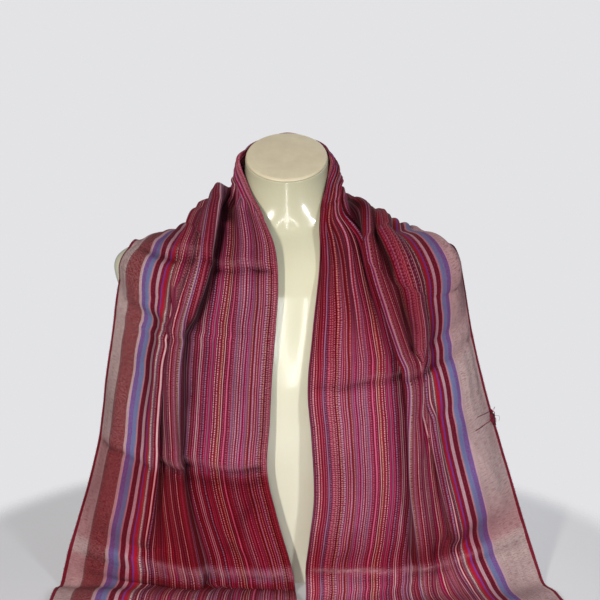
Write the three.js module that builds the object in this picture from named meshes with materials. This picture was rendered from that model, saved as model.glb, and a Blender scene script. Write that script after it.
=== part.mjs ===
// A striped scarf, folded once along its length and draped over a limbless torso form.
// The form stands on its flat base, and the scarf's two ends lie on the same surface.
// Millimetres, +Z up. The front faces -Y, and the origin is the middle of the form's base.
import * as THREE from "three";
import { mergeVertices } from "three/addons/utils/BufferGeometryUtils.js";

// The scarf's cut: a rectangle, folded lengthwise so that the upper layer is the wider one
const scarfLength = 1696;
const fullWidth = 510;
const upperWidthLeft = 266;
const upperWidthRight = 288;
const leftReach = 900; // cloth from the nape to the left end
const rightReach = scarfLength - leftReach;

// The two layers make one wall, and only the upper layer runs on to the outer selvedge
const doubleWall = 2;
const singleWall = 1.1;
const layerStep = 6; // cloth over which one wall grows into the other

// Clearances
const clothToForm = 0.7;
const faceToForm = 0.45; // at the middle of a flat face, where the form bulges towards it
const seamGap = 0.4; // between two stretches of the cloth, and under the neck's cap

// Grid of the cloth
const chordSamples = 40;
const clothColumns = 28;
const profileSteps = 240;
const crestSteps = 128; // of the profile's steps, those outside the main pleat's crest
const columnsInBends = 0.45; // the share of the columns that is kept for where the cloth bends
const columnEase = 3; // lines on each side over which the columns are shared out alike
const degrees = Math.PI / 180;

// The torso form, ring by ring: half sizes, the middle's Y, how square the ring is, and its tilt
const formRings = [
  { z: 0, halfWidth: 131, halfDepth: 85, centreY: 0, square: 2.2, tilt: 0 },
  { z: 30, halfWidth: 129, halfDepth: 85, centreY: 0, square: 2.2, tilt: 0 },
  { z: 70, halfWidth: 128, halfDepth: 85, centreY: -1, square: 2.2, tilt: 0 },
  { z: 120, halfWidth: 132, halfDepth: 87, centreY: -3, square: 2.2, tilt: 0 },
  { z: 170, halfWidth: 141, halfDepth: 91, centreY: -4, square: 2.25, tilt: 0 },
  { z: 220, halfWidth: 152, halfDepth: 95, centreY: -5, square: 2.3, tilt: 0 },
  { z: 262, halfWidth: 160, halfDepth: 98, centreY: -5, square: 2.3, tilt: 0 },
  { z: 295, halfWidth: 170, halfDepth: 98, centreY: -3, square: 2.3, tilt: 0 },
  { z: 320, halfWidth: 186, halfDepth: 96, centreY: -1, square: 2.3, tilt: 0 },
  { z: 340, halfWidth: 198, halfDepth: 94, centreY: 1, square: 2.3, tilt: 0 },
  { z: 356, halfWidth: 204, halfDepth: 91, centreY: 3, square: 2.3, tilt: 0 },
  { z: 370, halfWidth: 205, halfDepth: 87, centreY: 5, square: 2.3, tilt: 0 },
  { z: 381, halfWidth: 198, halfDepth: 81, centreY: 6, square: 2.25, tilt: 0 },
  { z: 390, halfWidth: 181, halfDepth: 75, centreY: 7, square: 2.2, tilt: 0 },
  { z: 398, halfWidth: 154, halfDepth: 69, centreY: 8, square: 2.15, tilt: 0 },
  { z: 407, halfWidth: 122, halfDepth: 63, centreY: 9, square: 2.1, tilt: 0 },
  { z: 418, halfWidth: 96, halfDepth: 58, centreY: 8, square: 2, tilt: 0.03 },
  { z: 431, halfWidth: 75, halfDepth: 54, centreY: 6, square: 2, tilt: 0.09 },
  { z: 445, halfWidth: 61, halfDepth: 51, centreY: 4, square: 2, tilt: 0.18 },
  { z: 460, halfWidth: 53, halfDepth: 49, centreY: 2, square: 2, tilt: 0.29 },
  { z: 477, halfWidth: 49.5, halfDepth: 48.5, centreY: 1, square: 2, tilt: 0.42 },
  { z: 492, halfWidth: 48.5, halfDepth: 48.5, centreY: 0, square: 2, tilt: 0.535 },
];
const formSegments = 48;
const capThickness = 3;
const capInset = 1.5;

// Lines across the scarf, from the left end to the right one. "at" is the distance along the
// cloth from the nape. Each line runs from the outer selvedge, through the place under the main
// pleat's crest, to the inner fold.
const drapeLines = [
  { at: -900, outer: [-274, -318, 0], crest: [-112, -334, 0], inner: [12, -346, 0] },
  { at: -845, outer: [-272, -264, 0], crest: [-110, -281, 0], inner: [13, -293, 0] },
  { at: -805, outer: [-270, -226, 3], crest: [-109, -243, 8], inner: [13, -255, 6] },
  { at: -765, outer: [-268, -188, 0], crest: [-108, -207, 0], inner: [13, -219, 0] },
  { at: -720, outer: [-266, -143, 1], crest: [-106, -165, 1], inner: [13, -177, 1] },
  { at: -690, outer: [-265, -115, 6], crest: [-104, -139, 9], inner: [12, -150, 9] },
  { at: -664, outer: [-263, -94, 1], crest: [-101, -117, 6], inner: [11, -127, 6] },
  { at: -642, outer: [-260, -84, 18], crest: [-98, -104, 4], inner: [10, -108, 3] },
  { at: -618, outer: [-254, -80, 42], crest: [-96, -106, 18], inner: [9, -110, 17] },
  { at: -590, outer: [-246, -74, 68], crest: [-101, -103, 42], inner: [4, -108, 40] },
  { at: -530, outer: [-229, -65, 126], crest: [-109, -99, 97], inner: [-11, -108, 96] },
  { at: -476, outer: [-217, -58, 178], crest: [-113, -98, 150], inner: [-21, -111, 148] },
  { at: -420, outer: [-209, -54, 236], crest: [-116, -100, 210], inner: [-18, -112, 203] },
  { at: -365, outer: [-201, -48, 293], crest: [-115, -99, 266], inner: [-15, -113, 258] },
  { at: -315, outer: [-194, -40, 345], crest: [-108, -92, 313], inner: [-11, -111, 308] },
  { at: -264, outer: [-183, -14, 391], crest: [-91, -82, 362], inner: [-8, -103, 359] },
  { at: -220, outer: [-174, 18, 390], crest: [-84, -49, 404], inner: [-12, -87, 398] },
  { at: -175, outer: [-152, 46, 374], crest: [-77, -9, 434], inner: [-27, -61, 431] },
  { at: -130, outer: [-124, 78, 342], crest: [-71, 29, 440], inner: [-45, -27, 462] },
  { at: -80, outer: [-80, 95, 317], crest: [-58, 62, 428], inner: [-53, 2, 496] },
  { at: 0, outer: [0, 102, 303], crest: [0, 83, 412], inner: [0, 53, 520] },
  { at: 80, outer: [80, 95, 317], crest: [59, 62, 428], inner: [53, 2, 496] },
  { at: 130, outer: [125, 78, 341], crest: [73, 27, 440], inner: [46, -28, 460] },
  { at: 180, outer: [157, 44, 374], crest: [82, -17, 430], inner: [39, -60, 420] },
  { at: 230, outer: [186, 12, 388], crest: [90, -59, 391], inner: [36, -86, 374] },
  { at: 262, outer: [198, -6, 386], crest: [97, -81, 360], inner: [33, -99, 347] },
  { at: 300, outer: [206, -18, 356], crest: [111, -92, 318], inner: [29, -109, 311] },
  { at: 372, outer: [218, -36, 283], crest: [131, -99, 252], inner: [24, -114, 241] },
  { at: 425, outer: [231, -43, 229], crest: [133, -98, 196], inner: [28, -114, 188] },
  { at: 495, outer: [251, -53, 162], crest: [138, -98, 125], inner: [31, -113, 118] },
  { at: 548, outer: [267, -60, 109], crest: [146, -98, 72], inner: [26, -111, 66] },
  { at: 584, outer: [277, -65, 76], crest: [152, -99, 42], inner: [22, -112, 32] },
  { at: 618, outer: [287, -71, 44], crest: [156, -109, 16], inner: [22, -136, 10] },
  { at: 645, outer: [295, -77, 18], crest: [158, -128, 5], inner: [20, -160, 1] },
  { at: 670, outer: [300, -91, 1], crest: [162, -150, 6], inner: [24, -183, 6] },
  { at: 700, outer: [307, -119, 3], crest: [168, -177, 6], inner: [30, -211, 7] },
  { at: 735, outer: [315, -152, 0], crest: [176, -210, 0], inner: [37, -244, 0] },
  { at: 796, outer: [330, -210, 0], crest: [190, -262, 0], inner: [50, -303, 0] },
];
const crestEdge = 148; // the main pleat's crest, measured from the outer selvedge

// Folds: each is a ridge that runs along the scarf. "edge" is the crest's distance from the outer
// selvedge, at its two ends. It comes and goes over "fade". "rise" is the cloth that climbs to the
// crest, and "fall" the cloth that drops behind it at "drop" degrees: past 90 it is folded back
// under the crest. With facing 1 the crest leans towards the inner fold, and with -1 away from it.
const folds = [
  { name: "lapel", from: -350, to: -85, fade: 90, edge: [147, 150],
    rise: 52, fall: 38, drop: 150, facing: 1 },
  { name: "left lower pleat", from: -640, to: -340, fade: 110, edge: [146, 147],
    rise: 44, fall: 24, drop: 92, facing: 1 },
  { name: "left border tuck", from: -530, to: -290, fade: 90, edge: [88, 86],
    rise: 36, fall: 18, drop: 70, facing: -1 },
  { name: "left collar pleat", from: -340, to: -120, fade: 80, edge: [228, 230],
    rise: 20, fall: 14, drop: 56, facing: 1 },
  { name: "upper back fold", from: -130, to: 130, fade: 100, edge: [186, 190],
    rise: 34, fall: 22, drop: 56, facing: -1 },
  { name: "middle back fold", from: -150, to: 150, fade: 110, edge: [122, 128],
    rise: 34, fall: 22, drop: 66, facing: -1 },
  { name: "lower back fold", from: -130, to: 140, fade: 100, edge: [64, 70],
    rise: 30, fall: 22, drop: 46, facing: -1 },
  { name: "right collar pleat", from: 110, to: 350, fade: 90, edge: [232, 224],
    rise: 22, fall: 16, drop: 66, facing: 1 },
  { name: "right long pleat", from: 120, to: 390, fade: 90, edge: [152, 148],
    rise: 30, fall: 30, drop: 128, facing: 1 },
  { name: "right shoulder pleat", from: 150, to: 400, fade: 90, edge: [112, 104],
    rise: 36, fall: 20, drop: 76, facing: 1 },
  { name: "right lower pleat", from: 372, to: 620, fade: 90, edge: [148, 146],
    rise: 40, fall: 24, drop: 98, facing: 1 },
  { name: "right border tuck", from: 400, to: 570, fade: 70, edge: [98, 94],
    rise: 26, fall: 18, drop: 36, facing: 1 },
];
const longestTurn = 0.45; // the share of a rise that is spent on turning
const tightestTurn = 0.32; // the share of a fall that is spent on turning
const steepestRise = 0.9; // radians

// The stretches of the scarf, each a node of its own, with the steps of its grid along the cloth
const stretches = [
  { name: "scarf_left_end", from: -900, to: -705, steps: 10 },
  { name: "scarf_left_front", from: -705, to: -120, steps: 38 },
  { name: "scarf_neck_and_back", from: -120, to: 120, steps: 16 },
  { name: "scarf_right_front", from: 120, to: 705, steps: 38 },
  { name: "scarf_right_end", from: 705, to: 796, steps: 6 },
];

// Finishes
const finishes = {
  cloth: new THREE.MeshStandardMaterial({ color: 0x8e2c45, roughness: 0.9, metalness: 0 }),
  shell: new THREE.MeshStandardMaterial({ color: 0xe8e2c6, roughness: 0.25, metalness: 0 }),
  cap: new THREE.MeshStandardMaterial({ color: 0xc9b99c, roughness: 0.55, metalness: 0 }),
};

const clamp = (value, low, high) => Math.min(high, Math.max(low, value));
const smooth = (share) => {
  const s = clamp(share, 0, 1);
  return s * s * (3 - 2 * s);
};
const add = (p, q, share = 1) => [p[0] + q[0] * share, p[1] + q[1] * share, p[2] + q[2] * share];
const minus = (p, q) => add(p, q, -1);
const cross = (p, q) => [
  p[1] * q[2] - p[2] * q[1],
  p[2] * q[0] - p[0] * q[2],
  p[0] * q[1] - p[1] * q[0],
];
const unit = (p) => {
  const size = Math.hypot(...p) || 1;
  return [p[0] / size, p[1] / size, p[2] / size];
};

// A smooth value between the rows of a table, whose places are in the column named by key
function between(rows, key, place, read) {
  let i = 0;
  while (i < rows.length - 2 && rows[i + 1][key] < place) i += 1;
  const before = rows[Math.max(i - 1, 0)];
  const left = rows[i];
  const right = rows[i + 1];
  const after = rows[Math.min(i + 2, rows.length - 1)];
  const gap = right[key] - left[key];
  const share = clamp((place - left[key]) / gap, 0, 1);
  const slopeLeft = ((read(right) - read(before)) / (right[key] - before[key])) * gap;
  const slopeRight = ((read(after) - read(left)) / (after[key] - left[key])) * gap;
  const square = share * share;
  const cube = square * share;
  return (
    (2 * cube - 3 * square + 1) * read(left) +
    (cube - 2 * square + share) * slopeLeft +
    (3 * square - 2 * cube) * read(right) +
    (cube - square) * slopeRight
  );
}

const formLow = formRings[0].z;
const formHigh = formRings[formRings.length - 1].z;

function ringAt(z) {
  const level = clamp(z, formLow, formHigh);
  const column = (name) => between(formRings, "z", level, (row) => row[name]);
  return {
    halfWidth: column("halfWidth"),
    halfDepth: column("halfDepth"),
    centreY: column("centreY"),
    square: column("square"),
    tilt: column("tilt"),
  };
}

// How far out a point lies, as a share of the form's own ring at that height
function ringShare(p) {
  const ring = ringAt(p[2]);
  const across = Math.abs(p[0]) / ring.halfWidth;
  const deep = Math.abs(p[1] - ring.centreY) / ring.halfDepth;
  return (across ** ring.square + deep ** ring.square) ** (1 / ring.square);
}

// How far a point lies outside the form, and the way out
function awayFromForm(p) {
  const probe = 0.5;
  const share = ringShare(p);
  const slope = [0, 1, 2].map((axis) => {
    const step = [0, 0, 0];
    step[axis] = probe;
    return (ringShare(add(p, step)) - ringShare(minus(p, step))) / (2 * probe);
  });
  const steepness = Math.max(Math.hypot(...slope), 1e-4);
  return { distance: (share - 1) / steepness, out: slope.map((part) => part / steepness) };
}

// Moves a point outwards until it clears the form by the gap
function clearOfForm(point, gap) {
  const longestStep = 12;
  let p = point;
  for (let turn = 0; turn < 8; turn += 1) {
    const { distance, out } = awayFromForm(p);
    if (distance >= gap - 0.01) break;
    p = add(p, out, Math.min(gap - distance, longestStep));
  }
  return p;
}

// Moves the corners of each face of a grid outwards until the face's middle and edges clear the form
function clearFaces(rows) {
  for (let turn = 0; turn < 4; turn += 1) {
    for (let i = 0; i < rows.length - 1; i += 1) {
      for (let j = 0; j < rows[0].length - 1; j += 1) {
        const corners = [rows[i][j], rows[i][j + 1], rows[i + 1][j], rows[i + 1][j + 1]];
        const [a, b, c, d] = corners.map(({ point }) => point);
        const near = [[a, b], [a, c], [a, d], [b, c]].map(([p, q]) => awayFromForm(add(p, minus(q, p), 0.5)));
        const nearest = near.reduce((low, spot) => (spot.distance < low.distance ? spot : low));
        if (nearest.distance >= faceToForm) continue;
        for (const corner of corners) {
          corner.point = add(corner.point, nearest.out, (faceToForm - nearest.distance) * 0.6);
        }
      }
    }
  }
}

const upperWidth = (at) =>
  upperWidthLeft + (upperWidthRight - upperWidthLeft) * smooth((at + 120) / 240);
const underWidth = (at) => fullWidth - upperWidth(at);

// The unfolded line across the scarf at one place along it, from outer selvedge to inner fold
function chordLine(at) {
  const end = (name) => [0, 1, 2].map((axis) => between(drapeLines, "at", at, (row) => row[name][axis]));
  const [outer, crest, inner] = [end("outer"), end("crest"), end("inner")];
  const toCrest = Math.hypot(...minus(crest, outer));
  const middle = toCrest / (toCrest + Math.hypot(...minus(inner, crest)));
  const points = [];
  const reached = [0];
  for (let j = 0; j <= chordSamples; j += 1) {
    const c = j / chordSamples;
    const toOuter = ((c - middle) * (c - 1)) / middle;
    const toMiddle = (c * (c - 1)) / (middle * (middle - 1));
    const toInner = (c * (c - middle)) / (1 - middle);
    const p = add(add(add([0, 0, 0], outer, toOuter), crest, toMiddle), inner, toInner);
    points.push(clearOfForm(p, clothToForm));
    if (j > 0) reached.push(reached[j - 1] + Math.hypot(...minus(points[j], points[j - 1])));
  }
  const before = Math.floor(middle * chordSamples);
  const beyond = middle * chordSamples - before;
  const crestReach = reached[before] + (reached[before + 1] - reached[before]) * beyond;
  return { points, reached, crestReach };
}

// A side of a fold: level at both ends, and at its full slope between them
function sideOfFold(share, turn) {
  if (share <= 0 || share >= 1) return 0;
  return smooth(share / turn) * smooth((1 - share) / turn);
}

// How high a side of a fold reaches, for one unit of cloth at its full slope
function sideHeight(slope, turn) {
  const samples = 24;
  let sum = 0;
  for (let k = 0; k < samples; k += 1) sum += Math.sin(slope * sideOfFold((k + 0.5) / samples, turn));
  return sum / samples;
}

// The folds at one place along the scarf, each with a rise as high as its fall
function foldsAt(at) {
  return folds.flatMap((fold) => {
    const present = smooth((at - fold.from) / fold.fade) * smooth((fold.to - at) / fold.fade);
    if (present <= 0) return [];
    const along = (at - fold.from) / (fold.to - fold.from);
    const fall = fold.fall * (0.4 + 0.6 * present);
    const drop = fold.drop * degrees * present ** 0.7;
    const height = fall * sideHeight(drop, tightestTurn);
    const lean = Math.min(height / (fold.rise * (1 - longestTurn)), steepestRise);
    const crest = fold.edge[0] + (fold.edge[1] - fold.edge[0]) * along;
    return [{ crest, fall, drop, lean, rise: fold.rise, facing: fold.facing }];
  });
}

// The slope that the folds give the cloth at one distance from the outer selvedge, in radians
function foldSlope(present, edge) {
  let slope = 0;
  for (const fold of present) {
    const past = (edge - fold.crest) * fold.facing;
    const climb = fold.lean * sideOfFold((past + fold.rise) / fold.rise, longestTurn);
    const drop = fold.drop * sideOfFold(past / fold.fall, tightestTurn);
    slope += (climb - drop) * fold.facing;
  }
  return slope;
}

// Where the small gathers are: evenly spread, and close together beside the neck
function gatherShare(at, edge) {
  const besideNeck = smooth((300 - Math.abs(at)) / 160) * smooth(Math.abs(at) / 90);
  return 0.1 + besideNeck * smooth((edge - crestEdge - 15) / 45);
}

// The folded profile across the scarf: how far along the chord, and how high, the cloth lies.
// The small gathers stay smooth here: they only shorten the cloth.
function foldedProfile(at, crestReach, fullReach) {
  const width = upperWidth(at);
  const present = foldsAt(at);
  const cells = [];
  const parts = [
    { from: 0, to: crestEdge, steps: crestSteps, reach: crestReach },
    { from: crestEdge, to: width, steps: profileSteps - crestSteps, reach: fullReach - crestReach },
  ];
  for (const part of parts) {
    part.piece = (part.to - part.from) / part.steps;
    part.cells = [];
    for (let j = 0; j < part.steps; j += 1) {
      const middle = part.from + (j + 0.5) * part.piece;
      const edge = middle + part.piece / 2;
      part.cells.push({ edge, slope: foldSlope(present, middle), gather: gatherShare(at, middle) });
    }
    const shortened = (gather, gathering) => part.piece * Math.exp(-gather * gathering);
    part.reaches = (strength, gathering) =>
      part.cells.reduce(
        (sum, { slope, gather }) => sum + Math.cos(slope * strength) * shortened(gather, gathering),
        0,
      );
  }
  const tooDeep = (strength) => parts.some((part) => part.reaches(strength, 0) < part.reach);
  const strength = tooDeep(1) ? 1 - solve(0, 1, (trial) => tooDeep(1 - trial)) : 1;
  for (const part of parts) {
    const gathering = solve(0, 12, (trial) => part.reaches(strength, trial) > part.reach);
    const stretch = part.reach / part.reaches(strength, gathering);
    for (const cell of part.cells) {
      cell.slope *= strength;
      cell.path = part.piece * Math.exp(-cell.gather * gathering);
      cell.chord = Math.cos(cell.slope) * cell.path * stretch;
      cells.push(cell);
    }
  }
  const spots = [{ edge: 0, chord: 0, height: 0, bend: 0, path: 0 }];
  let before = 0;
  for (const cell of cells) {
    const last = spots[spots.length - 1];
    spots.push({
      edge: cell.edge,
      chord: last.chord + cell.chord,
      height: last.height + Math.sin(cell.slope) * cell.path,
      bend: last.bend + Math.abs(cell.slope - before),
      path: last.path + cell.path,
    });
    before = cell.slope;
  }
  const end = spots[profileSteps];
  const [drift, bends, length] = [end.height, end.bend, end.path];
  const kept = columnsInBends * smooth(bends / 6);
  for (const spot of spots) {
    spot.level = spot.path / length;
    spot.height -= drift * spot.level;
    const inBends = bends > 0.01 ? spot.bend / bends : spot.level;
    spot.column = (spot.level * (1 - kept) + inBends * kept) * clothColumns;
  }
  const lowest = Math.min(...spots.map((spot) => spot.height));
  for (const spot of spots) {
    spot.height -= lowest * smooth(Math.min(spot.level, 1 - spot.level) * 8);
    spot.chord /= fullReach;
  }
  return spots;
}

// The places of the columns on one profile, shared out as on the lines beside it
function columnsOf(spots, beside) {
  const counts = spots.map((_, j) => beside.reduce((sum, line) => sum + line[j].column, 0) / beside.length);
  const columns = [];
  let j = 0;
  for (let column = 0; column <= clothColumns; column += 1) {
    while (j < profileSteps - 1 && counts[j + 1] < column) j += 1;
    const share = clamp((column - counts[j]) / Math.max(counts[j + 1] - counts[j], 1e-9), 0, 1);
    const mix = (name) => spots[j][name] + (spots[j + 1][name] - spots[j][name]) * share;
    columns.push({ edge: mix("edge"), chord: mix("chord"), height: mix("height") });
  }
  return columns;
}

// The place between two limits where a falling test stops holding
function solve(low, high, holds) {
  let [a, b] = [low, high];
  for (let turn = 0; turn < 20; turn += 1) {
    const trial = (a + b) / 2;
    if (holds(trial)) a = trial;
    else b = trial;
  }
  return b;
}

// A grid of points on the cloth's inner face, each with its distance from the outer selvedge
function clothGrid(places) {
  const chords = places.map(chordLine);
  const last = chordSamples;
  const outward = chords.map(({ points }, i) =>
    points.map((_, j) => {
      const across = minus(points[Math.min(j + 1, last)], points[Math.max(j - 1, 0)]);
      const ahead = chords[Math.min(i + 1, chords.length - 1)].points[j];
      return unit(cross(across, minus(ahead, chords[Math.max(i - 1, 0)].points[j])));
    }),
  );
  const profiles = places.map((at, i) => foldedProfile(at, chords[i].crestReach, chords[i].reached[last]));
  const rows = places.map((_, i) => {
    const { points, reached } = chords[i];
    const length = reached[last];
    const beside = profiles.slice(Math.max(i - columnEase, 0), i + columnEase + 1);
    return columnsOf(profiles[i], beside).map(({ edge, chord, height }) => {
      const place = clamp(chord, 0, 1) * length;
      let j = 0;
      while (j < last - 1 && reached[j + 1] < place) j += 1;
      const share = (place - reached[j]) / (reached[j + 1] - reached[j]);
      const base = add(points[j], minus(points[j + 1], points[j]), share);
      const normal = unit(add(outward[i][j], minus(outward[i][j + 1], outward[i][j]), share));
      const lifted = clearOfForm(add(base, normal, height), clothToForm);
      return { edge, point: [lifted[0], lifted[1], Math.max(lifted[2], 0)] };
    });
  });
  clearFaces(rows);
  return rows;
}

// The outward direction at each point of a grid
function gridNormals(grid) {
  const lastRow = grid.length - 1;
  return grid.map((row, i) =>
    row.map((_, j) => {
      const across = minus(row[Math.min(j + 1, row.length - 1)].point, row[Math.max(j - 1, 0)].point);
      const along = minus(grid[Math.min(i + 1, lastRow)][j].point, grid[Math.max(i - 1, 0)][j].point);
      return unit(cross(across, along));
    }),
  );
}

// A closed body from rows of points: the last row and column don't join the first ones
function closedWall(inside, outside) {
  const rows = inside.length;
  const columns = inside[0].length;
  const positions = [...inside.flat(), ...outside.flat()].flat();
  const index = [];
  const under = (i, j) => i * columns + j;
  const over = (i, j) => rows * columns + i * columns + j;
  const quad = (a, b, c, d) => index.push(a, b, c, a, c, d);
  for (let i = 0; i < rows - 1; i += 1) {
    for (let j = 0; j < columns - 1; j += 1) {
      quad(over(i, j), over(i, j + 1), over(i + 1, j + 1), over(i + 1, j));
      quad(under(i, j), under(i + 1, j), under(i + 1, j + 1), under(i, j + 1));
    }
  }
  for (let i = 0; i < rows - 1; i += 1) {
    quad(under(i, 0), over(i, 0), over(i + 1, 0), under(i + 1, 0));
    quad(under(i + 1, columns - 1), over(i + 1, columns - 1), over(i, columns - 1), under(i, columns - 1));
  }
  for (let j = 0; j < columns - 1; j += 1) {
    quad(under(0, j), under(0, j + 1), over(0, j + 1), over(0, j));
    quad(under(rows - 1, j), over(rows - 1, j), over(rows - 1, j + 1), under(rows - 1, j + 1));
  }
  return solid(positions, index);
}

function solid(positions, index) {
  const geometry = new THREE.BufferGeometry();
  geometry.setAttribute("position", new THREE.Float32BufferAttribute(positions, 3));
  geometry.setIndex(index);
  return mergeVertices(geometry, 1e-4);
}

// The places of the lines along the scarf: two stretches share the line at their seam
function linePlaces() {
  const places = [-leftReach];
  for (const { from, to, steps } of stretches) {
    for (let i = 1; i <= steps; i += 1) places.push(from + ((to - from) * i) / steps);
  }
  return places;
}

// The rows of one stretch, whose end rows are drawn back from the seams
function drawnBack(rows, atStart, atEnd) {
  const toward = (row, next) => row.map((p, j) => add(p, unit(minus(next[j], p)), seamGap / 2));
  const last = rows.length - 1;
  return rows.map((row, i) => {
    if (i === 0 && atStart) return toward(row, rows[1]);
    if (i === last && atEnd) return toward(row, rows[last - 1]);
    return row;
  });
}

// Each stretch as a wall: two layers thick, and one layer beyond the under layer's edge
function scarfWalls() {
  const places = linePlaces();
  const grid = clothGrid(places);
  const normals = gridNormals(grid);
  const outside = grid.map((row, i) => {
    const underEdge = upperWidth(places[i]) - underWidth(places[i]);
    return row.map(({ edge, point }, j) => {
      const doubled = smooth((edge - underEdge) / layerStep);
      const wall = singleWall + (doubleWall - singleWall) * doubled;
      const top = add(point, normals[i][j], wall);
      return [top[0], top[1], Math.max(top[2], wall * 0.5)];
    });
  });
  const inside = grid.map((row) => row.map(({ point }) => point));
  let first = 0;
  return stretches.map(({ from, to, steps }) => {
    const next = first + steps;
    const ends = [from > -leftReach, to < rightReach];
    const rows = (side) => drawnBack(side.slice(first, next + 1), ...ends);
    const wall = closedWall(rows(inside), rows(outside));
    first = next;
    return wall;
  });
}

// The torso form's shell as one smooth closed body with a flat base and a slanted neck
function torsoForm() {
  const positions = [];
  const index = [];
  const place = (ring, angle, inset = 0) => {
    const c = Math.cos(angle);
    const s = Math.sin(angle);
    const power = 2 / ring.square;
    const x = (ring.halfWidth - inset) * Math.sign(c) * Math.abs(c) ** power;
    const y = ring.centreY + (ring.halfDepth - inset) * Math.sign(s) * Math.abs(s) ** power;
    return [x, y, ring.z + ring.tilt * (y - ring.centreY)];
  };
  formRings.forEach((ring) => {
    for (let k = 0; k < formSegments; k += 1) {
      positions.push(...place(ring, (2 * Math.PI * k) / formSegments));
    }
  });
  const top = formRings[formRings.length - 1];
  const bottomCentre = positions.length / 3;
  positions.push(0, 0, formLow);
  const topCentre = bottomCentre + 1;
  positions.push(0, top.centreY, top.z);
  const at = (i, k) => i * formSegments + (k % formSegments);
  for (let k = 0; k < formSegments; k += 1) {
    for (let i = 0; i < formRings.length - 1; i += 1) {
      index.push(at(i, k), at(i, k + 1), at(i + 1, k + 1));
      index.push(at(i, k), at(i + 1, k + 1), at(i + 1, k));
    }
    index.push(bottomCentre, at(0, k + 1), at(0, k));
    index.push(topCentre, at(formRings.length - 1, k), at(formRings.length - 1, k + 1));
  }
  return solid(positions, index);
}

// The flat plate that closes the neck, parallel to its slanted top
function neckCap() {
  const top = formRings[formRings.length - 1];
  const positions = [];
  const index = [];
  [seamGap, seamGap + capThickness].forEach((lift) => {
    for (let k = 0; k < formSegments; k += 1) {
      const angle = (2 * Math.PI * k) / formSegments;
      const y = (top.halfDepth - capInset) * Math.sin(angle);
      const x = (top.halfWidth - capInset) * Math.cos(angle);
      positions.push(x, top.centreY + y, top.z + top.tilt * y + lift);
    }
  });
  const lowCentre = positions.length / 3;
  positions.push(0, top.centreY, top.z + seamGap);
  positions.push(0, top.centreY, top.z + seamGap + capThickness);
  const under = (k) => k % formSegments;
  const over = (k) => formSegments + (k % formSegments);
  for (let k = 0; k < formSegments; k += 1) {
    index.push(under(k), under(k + 1), over(k + 1), under(k), over(k + 1), over(k));
    index.push(lowCentre, under(k + 1), under(k));
    index.push(lowCentre + 1, over(k), over(k + 1));
  }
  return solid(positions, index);
}

function piece(name, geometry, material) {
  const mesh = new THREE.Mesh(geometry, material);
  mesh.name = name;
  return mesh;
}

const scarfOnForm = new THREE.Group();
scarfOnForm.add(piece("form_torso", torsoForm(), finishes.shell));
scarfOnForm.add(piece("form_neck_cap", neckCap(), finishes.cap));
scarfWalls().forEach((wall, i) => scarfOnForm.add(piece(stretches[i].name, wall, finishes.cloth)));

export default scarfOnForm;
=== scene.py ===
"""A striped scarf, folded once along its length and worn round the neck of a limbless torso form.

The tables are in millimetres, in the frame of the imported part: +Z up, the front faces -Y.
"""

import math
from collections import namedtuple
from functools import partial

import bpy
import numpy as np
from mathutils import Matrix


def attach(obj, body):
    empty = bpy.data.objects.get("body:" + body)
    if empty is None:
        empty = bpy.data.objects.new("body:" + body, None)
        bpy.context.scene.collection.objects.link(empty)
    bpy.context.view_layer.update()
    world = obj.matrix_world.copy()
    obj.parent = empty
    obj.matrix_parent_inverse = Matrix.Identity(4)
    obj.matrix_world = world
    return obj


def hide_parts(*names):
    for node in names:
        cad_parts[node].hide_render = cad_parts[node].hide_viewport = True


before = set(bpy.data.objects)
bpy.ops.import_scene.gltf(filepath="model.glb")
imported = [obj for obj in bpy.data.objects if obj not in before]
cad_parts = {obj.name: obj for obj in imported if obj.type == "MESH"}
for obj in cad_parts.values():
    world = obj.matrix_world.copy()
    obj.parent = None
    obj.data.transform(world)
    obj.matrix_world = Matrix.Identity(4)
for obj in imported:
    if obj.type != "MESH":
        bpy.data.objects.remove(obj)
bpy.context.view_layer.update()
mm = 0.001


def linked(name, data):
    """An object in the scene, at the origin."""
    piece = bpy.data.objects.new(name, data)
    bpy.context.scene.collection.objects.link(piece)
    return piece


# Camera. The photograph is taken from a little above the neck, straight at the form's front,
# and a 600 pixel frame sees 33.4 degrees.
camera_place = (15.6 * mm, -1181.8 * mm, 531.4 * mm)
camera_pitch = math.radians(10)
camera_data = bpy.data.cameras.new("camera")
camera_data.sensor_width = 36
camera_data.lens = 60
camera = linked("camera", camera_data)
camera.location = camera_place
camera.rotation_euler = (math.radians(90) - camera_pitch, 0, 0)
bpy.context.scene.camera = camera
bpy.context.scene.view_settings.view_transform = "Standard"


# Torso form. A moulded plastic shell without arms or head, smooth and glossy, that ends in a
# slanted neck and stands on its flat base. Its rings are those of the solid, taken more finely.
Ring = namedtuple("Ring", "z half_width half_depth centre_y square tilt")
form_rings = [Ring(*row) for row in [
    (0, 131, 85, 0, 2.2, 0),
    (30, 129, 85, 0, 2.2, 0),
    (70, 128, 85, -1, 2.2, 0),
    (120, 132, 87, -3, 2.2, 0),
    (170, 141, 91, -4, 2.25, 0),
    (220, 152, 95, -5, 2.3, 0),
    (262, 160, 98, -5, 2.3, 0),
    (295, 170, 98, -3, 2.3, 0),
    (320, 186, 96, -1, 2.3, 0),
    (340, 198, 94, 1, 2.3, 0),
    (356, 204, 91, 3, 2.3, 0),
    (370, 205, 87, 5, 2.3, 0),
    (381, 198, 81, 6, 2.25, 0),
    (390, 181, 75, 7, 2.2, 0),
    (398, 154, 69, 8, 2.15, 0),
    (407, 122, 63, 9, 2.1, 0),
    (418, 96, 58, 8, 2, 0.03),
    (431, 75, 54, 6, 2, 0.09),
    (445, 61, 51, 4, 2, 0.18),
    (460, 53, 49, 2, 2, 0.29),
    (477, 49.5, 48.5, 1, 2, 0.42),
    (492, 48.5, 48.5, 0, 2, 0.535),
]]
form_segments = 128
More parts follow.
